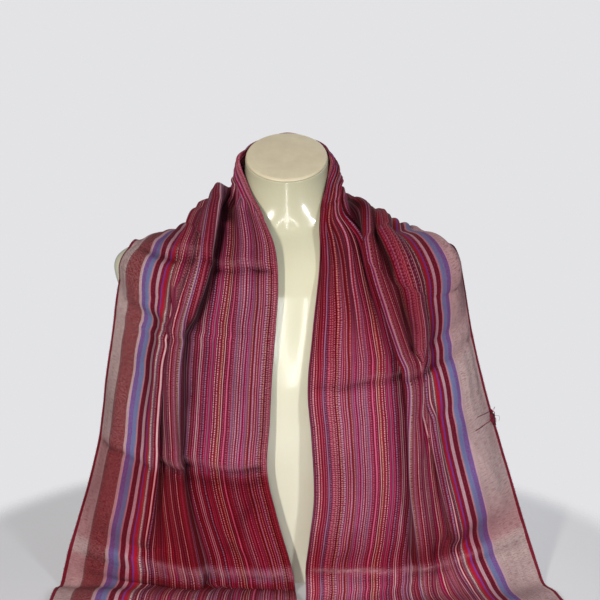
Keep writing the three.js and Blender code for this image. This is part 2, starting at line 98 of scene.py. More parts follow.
levels_between_rings = 5


def between(rows, key, places, column):
    """One column of a table, smoothly, at places between its rows."""
    x = np.array([getattr(row, key) for row in rows], float)
    y = np.array([getattr(row, column) for row in rows], float)
    places = np.asarray(places, float)
    last = len(x) - 1
    i = np.clip(np.searchsorted(x, places) - 1, 0, last - 1)
    before = np.maximum(i - 1, 0)
    after = np.minimum(i + 2, last)
    gap = x[i + 1] - x[i]
    share = np.clip((places - x[i]) / gap, 0, 1)

    def across(values, factor):
        return values * (factor[..., None] if y.ndim > 1 else factor)

    slope_left = across(y[i + 1] - y[before], gap / (x[i + 1] - x[before]))
    slope_right = across(y[after] - y[i], gap / (x[after] - x[i]))
    square = share ** 2
    cube = share ** 3
    return (
        across(y[i], 2 * cube - 3 * square + 1)
        + across(slope_left, cube - 2 * square + share)
        + across(y[i + 1], 3 * square - 2 * cube)
        + across(slope_right, cube - square)
    )


def ring_points(z, angles, inset=0.0):
    """The form's outline at one height, drawn in by an inset."""
    half_width, half_depth, centre_y, square, tilt = (
        float(between(form_rings, "z", z, name))
        for name in ("half_width", "half_depth", "centre_y", "square", "tilt")
    )
    cosine = np.cos(angles)
    sine = np.sin(angles)
    power = 2 / square
    x = (half_width - inset) * np.sign(cosine) * np.abs(cosine) ** power
    y = centre_y + (half_depth - inset) * np.sign(sine) * np.abs(sine) ** power
    return np.stack([x, y, z + tilt * (y - centre_y)], axis=1)


def link_mesh(name, points, faces):
    """A smooth mesh object in the row frame, from points in millimetres."""
    mesh = bpy.data.meshes.new(name)
    mesh.from_pydata((np.asarray(points, float) * mm).tolist(), [], faces)
    mesh.polygons.foreach_set("use_smooth", [True] * len(mesh.polygons))
    mesh.update()
    return linked(name, mesh)


def lathe_faces(rows, segments):
    """Faces between closed rings, with a fan over the first and the last one."""
    faces = []
    for start in range(0, (rows - 1) * segments, segments):
        above = start + segments
        for k in range(segments):
            n = (k + 1) % segments
            faces.append((start + k, start + n, above + n, above + k))
    low = rows * segments
    for k in range(segments):
        n = (k + 1) % segments
        faces.append((low, n, k))
        faces.append((low + 1, (rows - 1) * segments + k, (rows - 1) * segments + n))
    return faces


angles = np.arange(form_segments) * 2 * math.pi / form_segments
base_round = 2.5
neck_round = 0.9
rings = []
for turn in np.linspace(0, math.pi / 2, 4)[:-1]:
    ring = ring_points(0, angles, base_round * (1 - math.sin(turn)))
    ring[:, 2] = base_round * (1 - math.cos(turn))
    rings.append(ring)
ring_heights = [row.z for row in form_rings]
levels = np.interp(
    np.arange((len(form_rings) - 1) * levels_between_rings + 1) / levels_between_rings,
    np.arange(len(form_rings)),
    ring_heights,
)
levels[0] = base_round
levels[-1] = ring_heights[-1] - neck_round
rings += [ring_points(z, angles) for z in levels]
for turn in np.linspace(0, math.pi / 2, 5)[1:]:
    ring = ring_points(ring_heights[-1], angles, neck_round * (1 - math.cos(turn)))
    ring[:, 2] -= neck_round * (1 - math.sin(turn))
    rings.append(ring)
top = form_rings[-1]
form_points = np.concatenate([*rings, [[0, 0, 0]], [[0, top.centre_y, top.z]]])

# Shallow hollows, each with its place, its half sizes and its depth: the one at the throat, those
# above the two collar bones and the long one down the middle of the chest
Hollow = namedtuple("Hollow", "x z half_width half_height depth")
hollows = [
    Hollow(1, 408, 11, 13, 3.2),
    Hollow(-34, 413, 22, 7, 2.0),
    Hollow(36, 413, 22, 7, 2.0),
    Hollow(0, 330, 13, 62, 1.6),
    Hollow(-12, 378, 7, 16, 1.0),
    Hollow(14, 372, 7, 18, 1.2),
]
in_front = form_points[:, 1] < 0
for hollow in hollows:
    aside = (form_points[:, 0] - hollow.x) / hollow.half_width
    above = (form_points[:, 2] - hollow.z) / hollow.half_height
    form_points[:, 1] += in_front * hollow.depth * np.exp(-aside ** 2 - above ** 2)
form = link_mesh("torso_shell", form_points, lathe_faces(len(rings), form_segments))


def add_node(tree, kind, inputs=None, **settings):
    """A node with its settings. Each input takes a number, a colour or another node's socket."""
    node = tree.nodes.new(kind)
    for name, value in settings.items():
        setattr(node, name, value)
    set_inputs(tree, node, inputs or {})
    return node


def set_inputs(tree, node, inputs):
    for name, value in inputs.items():
        socket = node.inputs[name]
        if isinstance(value, bpy.types.NodeSocket):
            tree.links.new(value, socket)
        else:
            socket.default_value = (*value, 1) if socket.type == "RGBA" else value


class Finish:
    """A material, with the nodes that give it its colour, its gloss and its fine relief."""

    def __init__(self, name):
        self.material = bpy.data.materials.new(name)
        self.material.use_nodes = True
        self.tree = self.material.node_tree
        self.shader = self.tree.nodes["Principled BSDF"]

    def add(self, kind, inputs=None, **settings):
        return add_node(self.tree, kind, inputs, **settings)

    def spot(self):
        """The point's own place on the object, in metres."""
        return self.add("ShaderNodeTexCoord").outputs["Object"]

    def noise(self, vector, scale, detail=2.0, roughness=0.5):
        sizes = {"Vector": vector, "Scale": scale, "Detail": detail, "Roughness": roughness}
        return self.add("ShaderNodeTexNoise", sizes).outputs["Fac"]

    def ramp(self, factor, stops, interpolation="LINEAR"):
        """A ramp through stops of place and colour."""
        ramp = self.add("ShaderNodeValToRGB", {"Fac": factor})
        ramp.color_ramp.interpolation = interpolation
        elements = ramp.color_ramp.elements
        while len(elements) > 1:
            elements.remove(elements[-1])
        elements[0].position = stops[0][0]
        elements[0].color = (*stops[0][1], 1)
        for place, colour in stops[1:]:
            elements.new(place).color = (*colour, 1)
        return ramp.outputs["Color"]

    def mix(self, factor, first, second, blend="MIX"):
        """A colour mix. On this node the factor is input 0, and the colours are 6 and 7."""
        sides = {0: factor, 6: first, 7: second}
        return self.add("ShaderNodeMix", sides, data_type="RGBA", blend_type=blend).outputs[2]

    def tinted(self, colour, tint):
        return self.mix(1.0, colour, tint, "MULTIPLY")

    def maths(self, operation, first, second=None):
        values = {0: first} if second is None else {0: first, 1: second}
        return self.add("ShaderNodeMath", values, operation=operation).outputs[0]

    def settle(self, inputs, relief=None, strength=0.0, depth=0.0):
        """Sets the shader's inputs, with a fine relief where a height is given."""
        if relief is not None:
            bump = self.add("ShaderNodeBump", {"Height": relief, "Strength": strength, "Distance": depth})
            inputs = {**inputs, "Normal": bump.outputs["Normal"]}
        set_inputs(self.tree, self.shader, inputs)


def seen(red, green, blue):
    """A colour as it is seen, 0 to 255, in the shader's own scale."""
    share = [value / 255 for value in (red, green, blue)]
    return tuple(v / 12.92 if v <= 0.04045 else ((v + 0.055) / 1.055) ** 2.4 for v in share)


def part_of(piece):
    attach(piece, "root")


ivory = Finish("ivory_shell")
spot = ivory.spot()
height = ivory.add("ShaderNodeSeparateXYZ", {0: spot}).outputs["Z"]
level = ivory.add("ShaderNodeMapRange", {"Value": height, "From Max": 0.5}).outputs["Result"]
# The shell's own ivory, painted darker towards the neck as painted shade and paler low down as painted light,
# for how the lamps fall on it.
ivory_with_painted_shade = ivory.ramp(level, [
    (0.0, seen(240, 237, 214)),
    (0.36, seen(237, 234, 210)),
    (0.6, seen(220, 216, 187)),
    (0.78, seen(214, 209, 180)),
    (0.94, seen(190, 185, 156)),
])
clouds = ivory.ramp(ivory.noise(spot, 9, 3), [(0.35, (0.94, 0.94, 0.93)), (0.65, (1.0, 1.0, 1.0))])
ivory_gloss = {
    "Base Color": ivory.tinted(ivory_with_painted_shade, clouds),
    "Roughness": 0.2,
    "Coat Weight": 0.4,
    "Coat Roughness": 0.08,
    "Subsurface Weight": 0.08,
    "Subsurface Scale": 0.004,
}
ivory.settle(ivory_gloss, ivory.noise(spot, 26, 2), strength=0.12, depth=1.2 * mm)
form.data.materials.append(ivory.material)
part_of(form)
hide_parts("form_torso")


# Neck cap. A flat beige plate with a rounded edge, pressed onto the slanted top of the neck. It is
# moulded plastic with a dull, slightly mottled face.
cap_gap = 0.36
cap_thickness = 3
cap_round = 2.4
cap_radius = top.half_width - 0.6


def cap_ring(radius, lift):
    """A ring in the plane of the neck's top."""
    x = radius * np.cos(angles)
    y = radius * np.sin(angles)
    return np.stack([x, top.centre_y + y, top.z + top.tilt * y + lift], axis=1)


cap_top = cap_gap + cap_thickness
profile = [(cap_radius * 0.5, cap_gap), (cap_radius, cap_gap), (cap_radius, cap_top - cap_round)]
for turn in np.linspace(0, math.pi / 2, 5)[1:]:
    inward = cap_round * (1 - math.cos(turn))
    profile.append((cap_radius - inward, cap_top - cap_round * (1 - math.sin(turn))))
profile.append((cap_radius * 0.5, cap_top))
cap_rings = [cap_ring(radius, lift) for radius, lift in profile]
cap_ends = [[0, top.centre_y, top.z + lift] for lift in (cap_gap, cap_top)]
cap_faces = lathe_faces(len(cap_rings), form_segments)
cap = link_mesh("neck_cap", np.concatenate([*cap_rings, cap_ends]), cap_faces)

beige = Finish("beige_cap")
spot = beige.spot()
mottle = beige.ramp(beige.noise(spot, 60, 4, 0.6), [(0.3, seen(204, 190, 160)), (0.7, seen(214, 201, 171))])
beige.settle({"Base Color": mottle, "Roughness": 0.5}, beige.noise(spot, 900), strength=0.2, depth=0.3 * mm)
cap.data.materials.append(beige.material)
part_of(cap)
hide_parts("form_neck_cap")


# Scarf. One length of thin, plain woven cloth, folded once along its length. It goes round the
# back of the neck, and its two ends hang down the front and lie on the table. Distances along it
# are measured from the nape, and distances across it from the upper layer's outer selvedge.
scarf_length = 1696
scarf_width = 510
left_reach = 900
right_reach = scarf_length - left_reach
upper_width_left = 266
upper_width_right = 288
widening = 120
crest_edge = 148
cloth_to_form = 0.7
under_lift = 0.35
upper_lift = 1.6
fold_round = 3.0

DrapeLine = namedtuple("DrapeLine", "at outer crest inner")
drape_lines = [DrapeLine(*row) for row in [
    (-900, (-274, -318, 0), (-112, -334, 0), (12, -346, 0)),
    (-845, (-272, -264, 0), (-110, -281, 0), (13, -293, 0)),
    (-805, (-270, -226, 3), (-109, -243, 8), (13, -255, 6)),
    (-765, (-268, -188, 0), (-108, -207, 0), (13, -219, 0)),
    (-720, (-266, -143, 1), (-106, -165, 1), (13, -177, 1)),
    (-690, (-265, -115, 6), (-104, -139, 9), (12, -150, 9)),
    (-664, (-263, -94, 1), (-101, -117, 6), (11, -127, 6)),
    (-642, (-260, -84, 18), (-98, -104, 4), (10, -108, 3)),
    (-618, (-254, -80, 42), (-96, -106, 18), (9, -110, 17)),
    (-590, (-246, -74, 68), (-101, -103, 42), (4, -108, 40)),
    (-530, (-229, -65, 126), (-109, -99, 97), (-11, -108, 96)),
    (-476, (-217, -58, 178), (-113, -98, 150), (-21, -111, 148)),
    (-420, (-209, -54, 236), (-116, -100, 210), (-18, -112, 203)),
    (-365, (-201, -48, 293), (-115, -99, 266), (-15, -113, 258)),
    (-315, (-194, -40, 345), (-108, -92, 313), (-11, -111, 308)),
    (-264, (-183, -14, 391), (-91, -82, 362), (-8, -103, 359)),
    (-220, (-174, 18, 390), (-84, -49, 404), (-12, -87, 398)),
    (-175, (-152, 46, 374), (-77, -9, 434), (-27, -61, 431)),
    (-130, (-124, 78, 342), (-71, 29, 440), (-45, -27, 462)),
    (-80, (-80, 95, 317), (-58, 62, 428), (-53, 2, 496)),
    (0, (0, 102, 303), (0, 83, 412), (0, 53, 520)),
    (80, (80, 95, 317), (59, 62, 428), (53, 2, 496)),
    (130, (125, 78, 341), (73, 27, 440), (46, -28, 460)),
    (180, (157, 44, 374), (82, -17, 430), (39, -60, 420)),
    (230, (186, 12, 388), (90, -59, 391), (36, -86, 374)),
    (262, (198, -6, 386), (97, -81, 360), (33, -99, 347)),
    (300, (206, -18, 356), (111, -92, 318), (29, -109, 311)),
    (372, (218, -36, 283), (131, -99, 252), (24, -114, 241)),
    (425, (231, -43, 229), (133, -98, 196), (28, -114, 188)),
    (495, (251, -53, 162), (138, -98, 125), (31, -113, 118)),
    (548, (267, -60, 109), (146, -98, 72), (26, -111, 66)),
    (584, (277, -65, 76), (152, -99, 42), (22, -112, 32)),
    (618, (287, -71, 44), (156, -109, 16), (22, -136, 10)),
    (645, (295, -77, 18), (158, -128, 5), (20, -160, 1)),
    (670, (300, -91, 1), (162, -150, 6), (24, -183, 6)),
    (700, (307, -119, 3), (168, -177, 6), (30, -211, 7)),
    (735, (315, -152, 0), (176, -210, 0), (37, -244, 0)),
    (796, (330, -210, 0), (190, -262, 0), (50, -303, 0)),
]]

# The folds along the scarf, finer than the solids'. The rise is the cloth that climbs to the crest
# and the fall the cloth that drops behind it. A drop past 90 degrees folds it back under the crest.
# The edge, the fall and the drop are each given at the fold's start and at its stop.
Fold = namedtuple("Fold", "name start stop fade edge rise fall drop facing")
folds = [Fold(*row) for row in [
    ("lapel", -372, -104, 96, (147, 166), 48, (36, 36), (150, 150), 1),
    ("left lower pleat", -650, -300, 50, (146, 147), 34, (26, 24), (160, 160), 1),
    ("left border tuck", -610, -306, 44, (92, 90), 24, (25, 27), (160, 160), 1),
    ("left shoulder tuck", -352, -96, 50, (120, 112), 20, (20, 20), (150, 150), -1),
    ("left collar pleat", -340, -120, 80, (228, 230), 20, (14, 14), (56, 56), 1),
    ("upper back fold", -130, 130, 100, (186, 190), 34, (22, 22), (56, 56), -1),
    ("middle back fold", -150, 150, 110, (122, 128), 34, (22, 22), (66, 66), -1),
    ("lower back fold", -130, 140, 100, (64, 70), 30, (22, 22), (46, 46), -1),
    ("right collar pleat", 110, 350, 90, (232, 224), 22, (16, 16), (66, 66), 1),
    ("right long pleat", 146, 640, 90, (154, 146), 34, (36, 24), (138, 176), 1),
    ("right shoulder pleat", 168, 404, 90, (112, 104), 34, (30, 26), (146, 140), 1),
    ("right border tuck", 396, 600, 50, (100, 94), 20, (18, 14), (120, 100), 1),
]]
longest_turn = 0.45
tightest_turn = 0.32
steepest_rise = 0.9
steepest_gather = 1.9
gather_wave = 17


def smooth_step(share):
    share = np.clip(share, 0, 1)
    return share * share * (3 - 2 * share)


def unit(vectors):
    return vectors / np.maximum(np.linalg.norm(vectors, axis=-1, keepdims=True), 1e-9)


def ring_share(points):
    """How far out points lie, as a share of the form's own ring at their heights."""
    level = np.clip(points[..., 2], form_rings[0].z, form_rings[-1].z)
    half_width, half_depth, centre_y, square = (
        between(form_rings, "z", level, name)
        for name in ("half_width", "half_depth", "centre_y", "square")
    )
    across = np.abs(points[..., 0]) / half_width
    deep = np.abs(points[..., 1] - centre_y) / half_depth
    return (across ** square + deep ** square) ** (1 / square)


def away_from_form(points):
    """How far points lie outside the form, and the way out."""
    probe = 0.5
    share = ring_share(points)
    slope = np.stack(
        [(ring_share(points + step) - ring_share(points - step)) / (2 * probe) for step in np.eye(3) * probe],
        axis=-1,
    )
    steepness = np.maximum(np.linalg.norm(slope, axis=-1), 1e-4)
    return (share - 1) / steepness, slope / steepness[..., None]


def clear_of_form(points, gap):
    """Moves points outwards until they clear the form by the gap."""
    longest_step = 12
    shape = points.shape
    flat = points.reshape(-1, 3).copy()
    gaps = np.broadcast_to(gap, shape[:-1]).reshape(-1)
    near = np.arange(len(flat))
    for _ in range(8):
        distance, out = away_from_form(flat[near])
        short = distance < gaps[near] - 0.01
        near = near[short]
        if not len(near):
            break
        step = np.minimum(gaps[near] - distance[short], longest_step)
        flat[near] += out[short] * step[:, None]
    return flat.reshape(shape)


def upper_width(at):
    """The upper layer's width, which grows across the nape from the left one to the right one."""
    share = smooth_step((at + widening) / (2 * widening))
    return upper_width_left + (upper_width_right - upper_width_left) * share


def soft_noise(along, across, cell_along, cell_across, seed):
    """Smooth noise from -1 to 1 over the cloth, with cells of a given size in millimetres."""
    table = np.random.RandomState(seed).uniform(-1, 1, (64, 64))
    x = np.asarray(along, float) / cell_along + 32
    y = np.asarray(across, float) / cell_across + 32
    i = np.floor(x).astype(int)
    j = np.floor(y).astype(int)
    a = smooth_step(x - i)
    b = smooth_step(y - j)

    def corner(k, n):
        return table[(i + k) % 64, (j + n) % 64]

    low = corner(0, 0) * (1 - a) + corner(1, 0) * a
    high = corner(0, 1) * (1 - a) + corner(1, 1) * a
    return low * (1 - b) + high * b


def side_of_fold(share, turn):
    """A side of a fold: level at both ends, and at its full slope between them."""
    inside = (share > 0) & (share < 1)
    return np.where(inside, smooth_step(share / turn) * smooth_step((1 - share) / turn), 0)


def side_height(slope, turn):
    """How high a side of a fold reaches, for one unit of cloth at its full slope."""
    samples = 24
    shares = (np.arange(samples) + 0.5) / samples
    return np.sin(slope[:, None] * side_of_fold(shares, turn)).mean(axis=1)


def fold_slopes(at, edge):
    """The slope that the folds give the cloth, in radians."""
    slope = np.zeros(np.broadcast(at, edge).shape)
    places = at[:, 0]
    pressed = smooth_step((np.abs(places) - 360) / 80)
    turn = (tightest_turn * (1 - 0.5 * pressed))[:, None]
    for fold in folds:
        present = smooth_step((places - fold.start) / fold.fade)
        present = present * smooth_step((fold.stop - places) / fold.fade)
        along = (places - fold.start) / (fold.stop - fold.start)
        crest, fall, drop = (np.interp(along, (0, 1), pair) for pair in (fold.edge, fold.fall, fold.drop))
        fall = fall * (0.4 + 0.6 * present)
        drop = np.radians(drop) * present ** 0.7
        height = fall * side_height(drop, turn)
        lean = np.minimum(height / (fold.rise * (1 - longest_turn)), steepest_rise)
        past = (edge - crest[:, None]) * fold.facing
        climb = lean[:, None] * side_of_fold((past + fold.rise) / fold.rise, longest_turn)
        fallen = drop[:, None] * side_of_fold(past / fall[:, None], turn)
        slope += np.where(present[:, None] > 0, (climb - fallen) * fold.facing, 0)
    return slope


def gather_shares(at, edge):
    """Where the small gathers are: close together beside the neck, and lower down in one bunch."""
    beside_neck = smooth_step((300 - np.abs(at)) / 160) * smooth_step(np.abs(at) / 90)
    hanging = smooth_step((np.abs(at) - 250) / 90)
    bunch = smooth_step((edge - 90) / 16) * smooth_step((148 - edge) / 14)
    uneven = 1 + 0.7 * soft_noise(at, edge, 140, 22, 5)
    few = uneven * (0.003 + 0.06 * (1 - hanging) + 0.7 * hanging * bunch)
    return few + beside_neck * smooth_step((edge - crest_edge - 15) / 45)


def gather_waves(at, edge):
    """The gathers' own waves, with uneven widths, that wander a little along the cloth."""
    wander = 5 * soft_noise(at, edge, 120, 60, 7) + 4 * np.sin(edge / 21 + 0.6)
    return np.sin(2 * math.pi * (edge + wander) / gather_wave + 0.2 + 1.7 * smooth_step((at + 90) / 180))


def halve(low, high, holds, turns=22):
    """For each row, the place between two limits where a test stops holding."""
    low = low.copy()
    high = high.copy()
    for _ in range(turns):
        trial = (low + high) / 2
        held = holds(trial)
        low = np.where(held, trial, low)
        high = np.where(held, high, trial)
    return (low + high) / 2


chord_samples = 80
profile_steps = 480
crest_steps = 256


def chord_lines(places):
    """The unfolded lines across the scarf, pushed clear of the form, and where the crest comes."""
    ends = {name: between(drape_lines, "at", places, name) for name in ("outer", "crest", "inner")}
    to_crest = np.linalg.norm(ends["crest"] - ends["outer"], axis=1)
    to_inner = np.linalg.norm(ends["inner"] - ends["crest"], axis=1)
    middle = (to_crest / (to_crest + to_inner))[:, None, None]
    c = np.linspace(0, 1, chord_samples + 1)[None, :, None]
    points = (
        ends["outer"][:, None] * (c - middle) * (c - 1) / middle
        + ends["crest"][:, None] * c * (c - 1) / (middle * (middle - 1))
        + ends["inner"][:, None] * c * (c - middle) / (1 - middle)
    )
    points = clear_of_form(points, cloth_to_form)
    steps = np.linalg.norm(np.diff(points, axis=1), axis=2)
    reached = np.concatenate([np.zeros((len(places), 1)), np.cumsum(steps, axis=1)], axis=1)
    spots = middle[:, 0, 0] * chord_samples
    before = np.floor(spots).astype(int)
    rows = np.arange(len(places))
    crest_reach = reached[rows, before] + steps[rows, before] * (spots - before)
    return points, reached, crest_reach


def folded_profiles(places, crest_reach, full_reach):
    """How far along its chord, and how high, each point across the cloth lies."""
    at = places[:, None]
    width = upper_width(places)
    parts = [
        (np.zeros_like(width), np.full_like(width, crest_edge), crest_steps, crest_reach),
        (np.full_like(width, crest_edge), width, profile_steps - crest_steps, full_reach - crest_reach),
    ]
    cells = []
    for start, stop, steps, reach in parts:
        step = ((stop - start) / steps)[:, None]
        edge = start[:, None] + (np.arange(steps)[None, :] + 0.5) * step
        gathers = (gather_shares(at, edge), gather_waves(at, edge))
        cells.append((step, edge, fold_slopes(at, edge), *gathers, reach))

    edges, chords, heights, paths = [], [], [], []
    for step, edge, slope, shares, waves, reach in cells:

        def fits(strength):
            return (np.cos(slope * strength[:, None]) * step).sum(axis=1) > reach

        strength = halve(np.zeros_like(width), np.ones_like(width) * 1.0001, fits)[:, None]

        def gathered(amount):
            lean = np.minimum(2 * np.sqrt(shares * amount[:, None]), steepest_gather)
            return slope * strength + lean * waves

        def longer(amount):
            return (np.cos(gathered(amount)) * step).sum(axis=1) > reach

        amount = halve(np.zeros_like(width), np.full_like(width, 12.0), longer)
        slopes = gathered(amount)
        run = np.cos(slopes) * step
        run *= (reach / run.sum(axis=1))[:, None]
        edges.append(edge + step / 2)
        chords.append(run)
        heights.append(np.sin(slopes) * step)
        paths.append(np.broadcast_to(step, edge.shape))
    zero = np.zeros((len(places), 1))
    edges = np.concatenate([zero, *edges], axis=1)
    chords = np.cumsum(np.concatenate([zero, *chords], axis=1), axis=1)
    heights = np.cumsum(np.concatenate([zero, *heights], axis=1), axis=1)
    level = np.cumsum(np.concatenate([zero, *paths], axis=1), axis=1)
    level /= level[:, -1:]
    heights -= heights[:, -1:] * level
    heights -= heights.min(axis=1, keepdims=True) * smooth_step(np.minimum(level, 1 - level) * 8)
    return edges, chords / full_reach[:, None], heights


def sampled(values, spots):
    """Rows of values at whole and broken places along them."""
    before = np.clip(np.floor(spots).astype(int), 0, values.shape[1] - 2)
    share = np.clip(spots - before, 0, 1)
    rows = np.arange(len(values))[:, None]
    if values.ndim == 3:
        share = share[..., None]
    return values[rows, before] * (1 - share) + values[rows, before + 1] * share


def row_interp(wanted, known, values):
    return np.stack([np.interp(w, k, v) for w, k, v in zip(wanted, known, values)])


def grid_normals(points):
    """The outward direction at each point of a grid."""
    return unit(np.cross(np.gradient(points, axis=1), np.gradient(points, axis=0)))


# Rows are close together where the scarf is seen, and wider apart on the table.
row_places = np.concatenate([
    np.arange(-left_reach, -720, 9.0),
    np.arange(-720, 700, 3.7),
    np.arange(700, right_reach - 4, 9.0),
    [right_reach],
])
upper_columns = 150
under_columns = 58

chord_points, chord_reached, crest_reaches = chord_lines(row_places)
full_reaches = chord_reached[:, -1]
profile_edges, profile_chords, profile_heights = folded_profiles(row_places, crest_reaches, full_reaches)
widths = upper_width(row_places)
shares = np.linspace(0, 1, upper_columns + 1)
upper_edges = widths[:, None] * shares[None, :]
chords = row_interp(upper_edges, profile_edges, profile_chords)
heights = row_interp(upper_edges, profile_edges, profile_heights)
chord_axis = np.arange(chord_samples + 1)
spots = row_interp(chords * full_reaches[:, None], chord_reached, [chord_axis] * len(row_places))
chord_normals = grid_normals(chord_points)
base_points = sampled(chord_points, spots)
base_normals = unit(sampled(chord_normals, spots))
lifted = clear_of_form(base_points + base_normals * heights[..., None], cloth_to_form)

# Creases that the folds above don't make: each is a soft trough or ridge from one place on the
# cloth to another, with its width and its depth in millimetres. The sharp ones across the scarf
# come from how it was packed, folded in eight.
Crease = namedtuple("Crease", "at_start edge_start at_stop edge_stop width depth")
creases = [Crease(*row) for row in [
    (-264, 14, -253, 150, 5, -4),
    (-253, 146, -250, 266, 5, -4.6),
    (-244, 30, -241, 266, 12, 2.4),
    (-484, 0, -479, 96, 5, -4),
    (-477, 92, -475, 266, 5.5, -6.5),
    (-463, 96, -461, 266, 15, 4.6),
    (-490, 96, -489, 266, 13, -2.4),
    (-470, 0, -466, 92, 11, 2.4),
    (-602, 20, -598, 266, 13, 3.4),
    (-617, 10, -614, 266, 8, -4),
    (366, 0, 371, 112, 5, -4),
    (372, 106, 368, 288, 5, -4.6),
    (357, 0, 358, 288, 11, 2.6),
    (586, 288, 597, 180, 8, 3.2),
    (597, 184, 602, 100, 8, 3.2),
    (602, 104, 598, 0, 8, 2.6),
    (597, 288, 608, 180, 7, -2.4),
    (608, 184, 613, 100, 7, -2.6),
    (613, 104, 609, 0, 7, -2.2),
    (158, 60, 160, 288, 5, -1.6),
    (-42, 0, -40, 266, 5, -2.4),
    (-690, 0, -686, 266, 5, -2),
    (-330, 190, -420, 168, 9, -2),
    (-300, 252, -350, 262, 7, 1.8),
    (-520, 180, -600, 240, 10, 2.2),
    (-500, 250, -590, 190, 11, -2),
    (-360, 60, -440, 40, 10, 1.6),
    (-300, 110, -400, 118, 9, -2.2),
    (-560, 40, -620, 90, 12, 2),
    (400, 200, 500, 216, 9, 1.8),
    (330, 190, 420, 170, 8, -2),
    (430, 60, 540, 20, 10, 1.8),
    (300, 60, 380, 84, 8, -1.8),
    (500, 120, 600, 128, 9, -2),
    (520, 240, 600, 262, 10, 1.8),
    (-60, 30, 40, 16, 9, 2),
    (-90, 100, -10, 96, 8, -2),
    (20, 150, 100, 158, 8, -2),
    (-30, 224, 60, 232, 7, 1.8),
]]


# Paler lines along the ridges of some sharp creases. The depth is how much paler they are.
pale_crease_lines = [Crease(*row) for row in [
    (586, 288, 597, 180, 3, 1.0),
    (597, 184, 602, 100, 3, 0.9),
    (602, 104, 599, 50, 3, 0.6),
    (364, 92, 363, 240, 3, 0.2),
    (-247, 60, -246, 258, 3, 0.25),
    (-468, 96, -466, 262, 3, 0.35),
    (-604, 92, -606, 262, 6, 0.4),
]]

# Painted shade where the cloth stands open and little light comes in: beside the lapel, and in the right
# shoulder's valleys. Their depth is the share of the light that is painted out.
painted_shade_strokes = [Crease(*row) for row in [
    (-140, 208, -206, 198, 13, 1.1),
    (-200, 199, -262, 181, 11, 1.0),
    (-256, 182, -304, 162, 7, 0.7),
    (150, 168, 216, 152, 12, 1.1),
    (208, 153, 266, 114, 10, 0.8),
    (256, 116, 330, 113, 6, 0.5),
]]


def crease_depths(at, edge, rows):
    """How far the creases lift or sink each point."""
    depth = np.zeros(at.shape)
    for number, crease in enumerate(rows):
        run = np.array([crease.at_stop - crease.at_start, crease.edge_stop - crease.edge_start], float)
        length = np.hypot(*run)
        ahead = run / length
        from_start = np.stack([at - crease.at_start, edge - crease.edge_start])
        along = from_start[0] * ahead[0] + from_start[1] * ahead[1]
        aside = from_start[1] * ahead[0] - from_start[0] * ahead[1]
        aside = aside + 2.2 * soft_noise(along, along * 0, 24, 10, 40 + number)
        uneven = 0.75 + 0.5 * soft_noise(along, along * 0, 32, 10, 90 + number)
        fade = smooth_step(along / 14) * smooth_step((length - along) / 14)
        depth += crease.depth * uneven * fade * np.exp(-np.abs(aside / (crease.width * 0.7)) ** 1.4)
    return depth


grid_at = np.broadcast_to(row_places[:, None], upper_edges.shape)
on_table = smooth_step((np.abs(grid_at) - 640) / 60)
relief = crease_depths(grid_at, upper_edges, creases) * (1 - 0.7 * on_table)
relief += 1.1 * soft_noise(grid_at, upper_edges, 70, 24, 11) * (1 - 0.6 * on_table)
relief += 0.5 * soft_noise(grid_at, upper_edges, 22, 9, 12) * (1 - 0.6 * on_table)
relief += on_table * (1.4 + 1.6 * soft_noise(grid_at, upper_edges, 46, 70, 13))
normals = grid_normals(lifted)
from_fold = widths[:, None] - upper_edges
half_lift = (upper_lift - under_lift) / 2
fold_share = smooth_step(from_fold / fold_round)
upper_points = lifted + base_normals * relief[..., None]
upper_points += normals * (under_lift + half_lift + half_lift * fold_share)[..., None]
upper_points = clear_of_form(upper_points, cloth_to_form + under_lift + half_lift + half_lift * fold_share)

# The under layer follows the upper one a little closer to the form, and stops short of its edge.
under_shares = np.linspace(0, 1, under_columns + 1)[1:]
under_edges = widths[:, None] - (scarf_width - widths)[:, None] * under_shares[None, :]
column_spots = under_edges / widths[:, None] * upper_columns
under_base = sampled(lifted + base_normals * relief[..., None], column_spots)
under_normals = unit(sampled(normals, column_spots))
under_share = smooth_step((widths[:, None] - under_edges) / fold_round)
under_offset = under_lift + half_lift * (1 - under_share)
under_points = under_base + under_normals * under_offset[..., None]
under_points = clear_of_form(under_points, cloth_to_form + under_offset * 0.5)

cloth_points = np.concatenate([upper_points, under_points], axis=1)
cloth_across = np.concatenate([upper_edges, 2 * widths[:, None] - under_edges], axis=1)
lowest = np.concatenate([np.full(upper_columns + 1, 1.5), np.full(under_columns, 0.4)])
cloth_points[..., 2] = np.maximum(cloth_points[..., 2], lowest[None, :])


def grid_piece(name, points, across, along):
    """A cloth grid as a mesh, with its place on the cut as its UV map, in shares of the cut."""
    rows, columns = points.shape[:2]
    index = np.arange(rows * columns).reshape(rows, columns)
    quads = np.stack([index[:-1, :-1], index[:-1, 1:], index[1:, 1:], index[1:, :-1]], axis=-1)
    piece = link_mesh(name, points.reshape(-1, 3), quads.reshape(-1, 4).tolist())
    layer = piece.data.uv_layers.new(name="cut")
    corners = np.zeros(len(piece.data.loops), int)
    piece.data.loops.foreach_get("vertex_index", corners)
    places = np.stack([across.reshape(-1) / scarf_width, along.reshape(-1) / scarf_length], axis=1)
    layer.data.foreach_set("uv", places[corners].astype(np.float32).reshape(-1))
    return piece


def carry(piece, name, values):
    """Gives a piece a value for each of its points, for its material."""
    layer = piece.data.attributes.new(name, "FLOAT", "POINT")
    layer.data.foreach_set("value", values.astype(np.float32).reshape(-1))


cloth_along = np.broadcast_to(row_places[:, None] + left_reach, cloth_across.shape)
scarf = grid_piece("scarf_cloth", cloth_points, cloth_across, cloth_along)
under_edge = 2 * widths[:, None] - scarf_width
carry(scarf, "doubled", np.clip((cloth_across - under_edge) / 1.5, 0, 1))
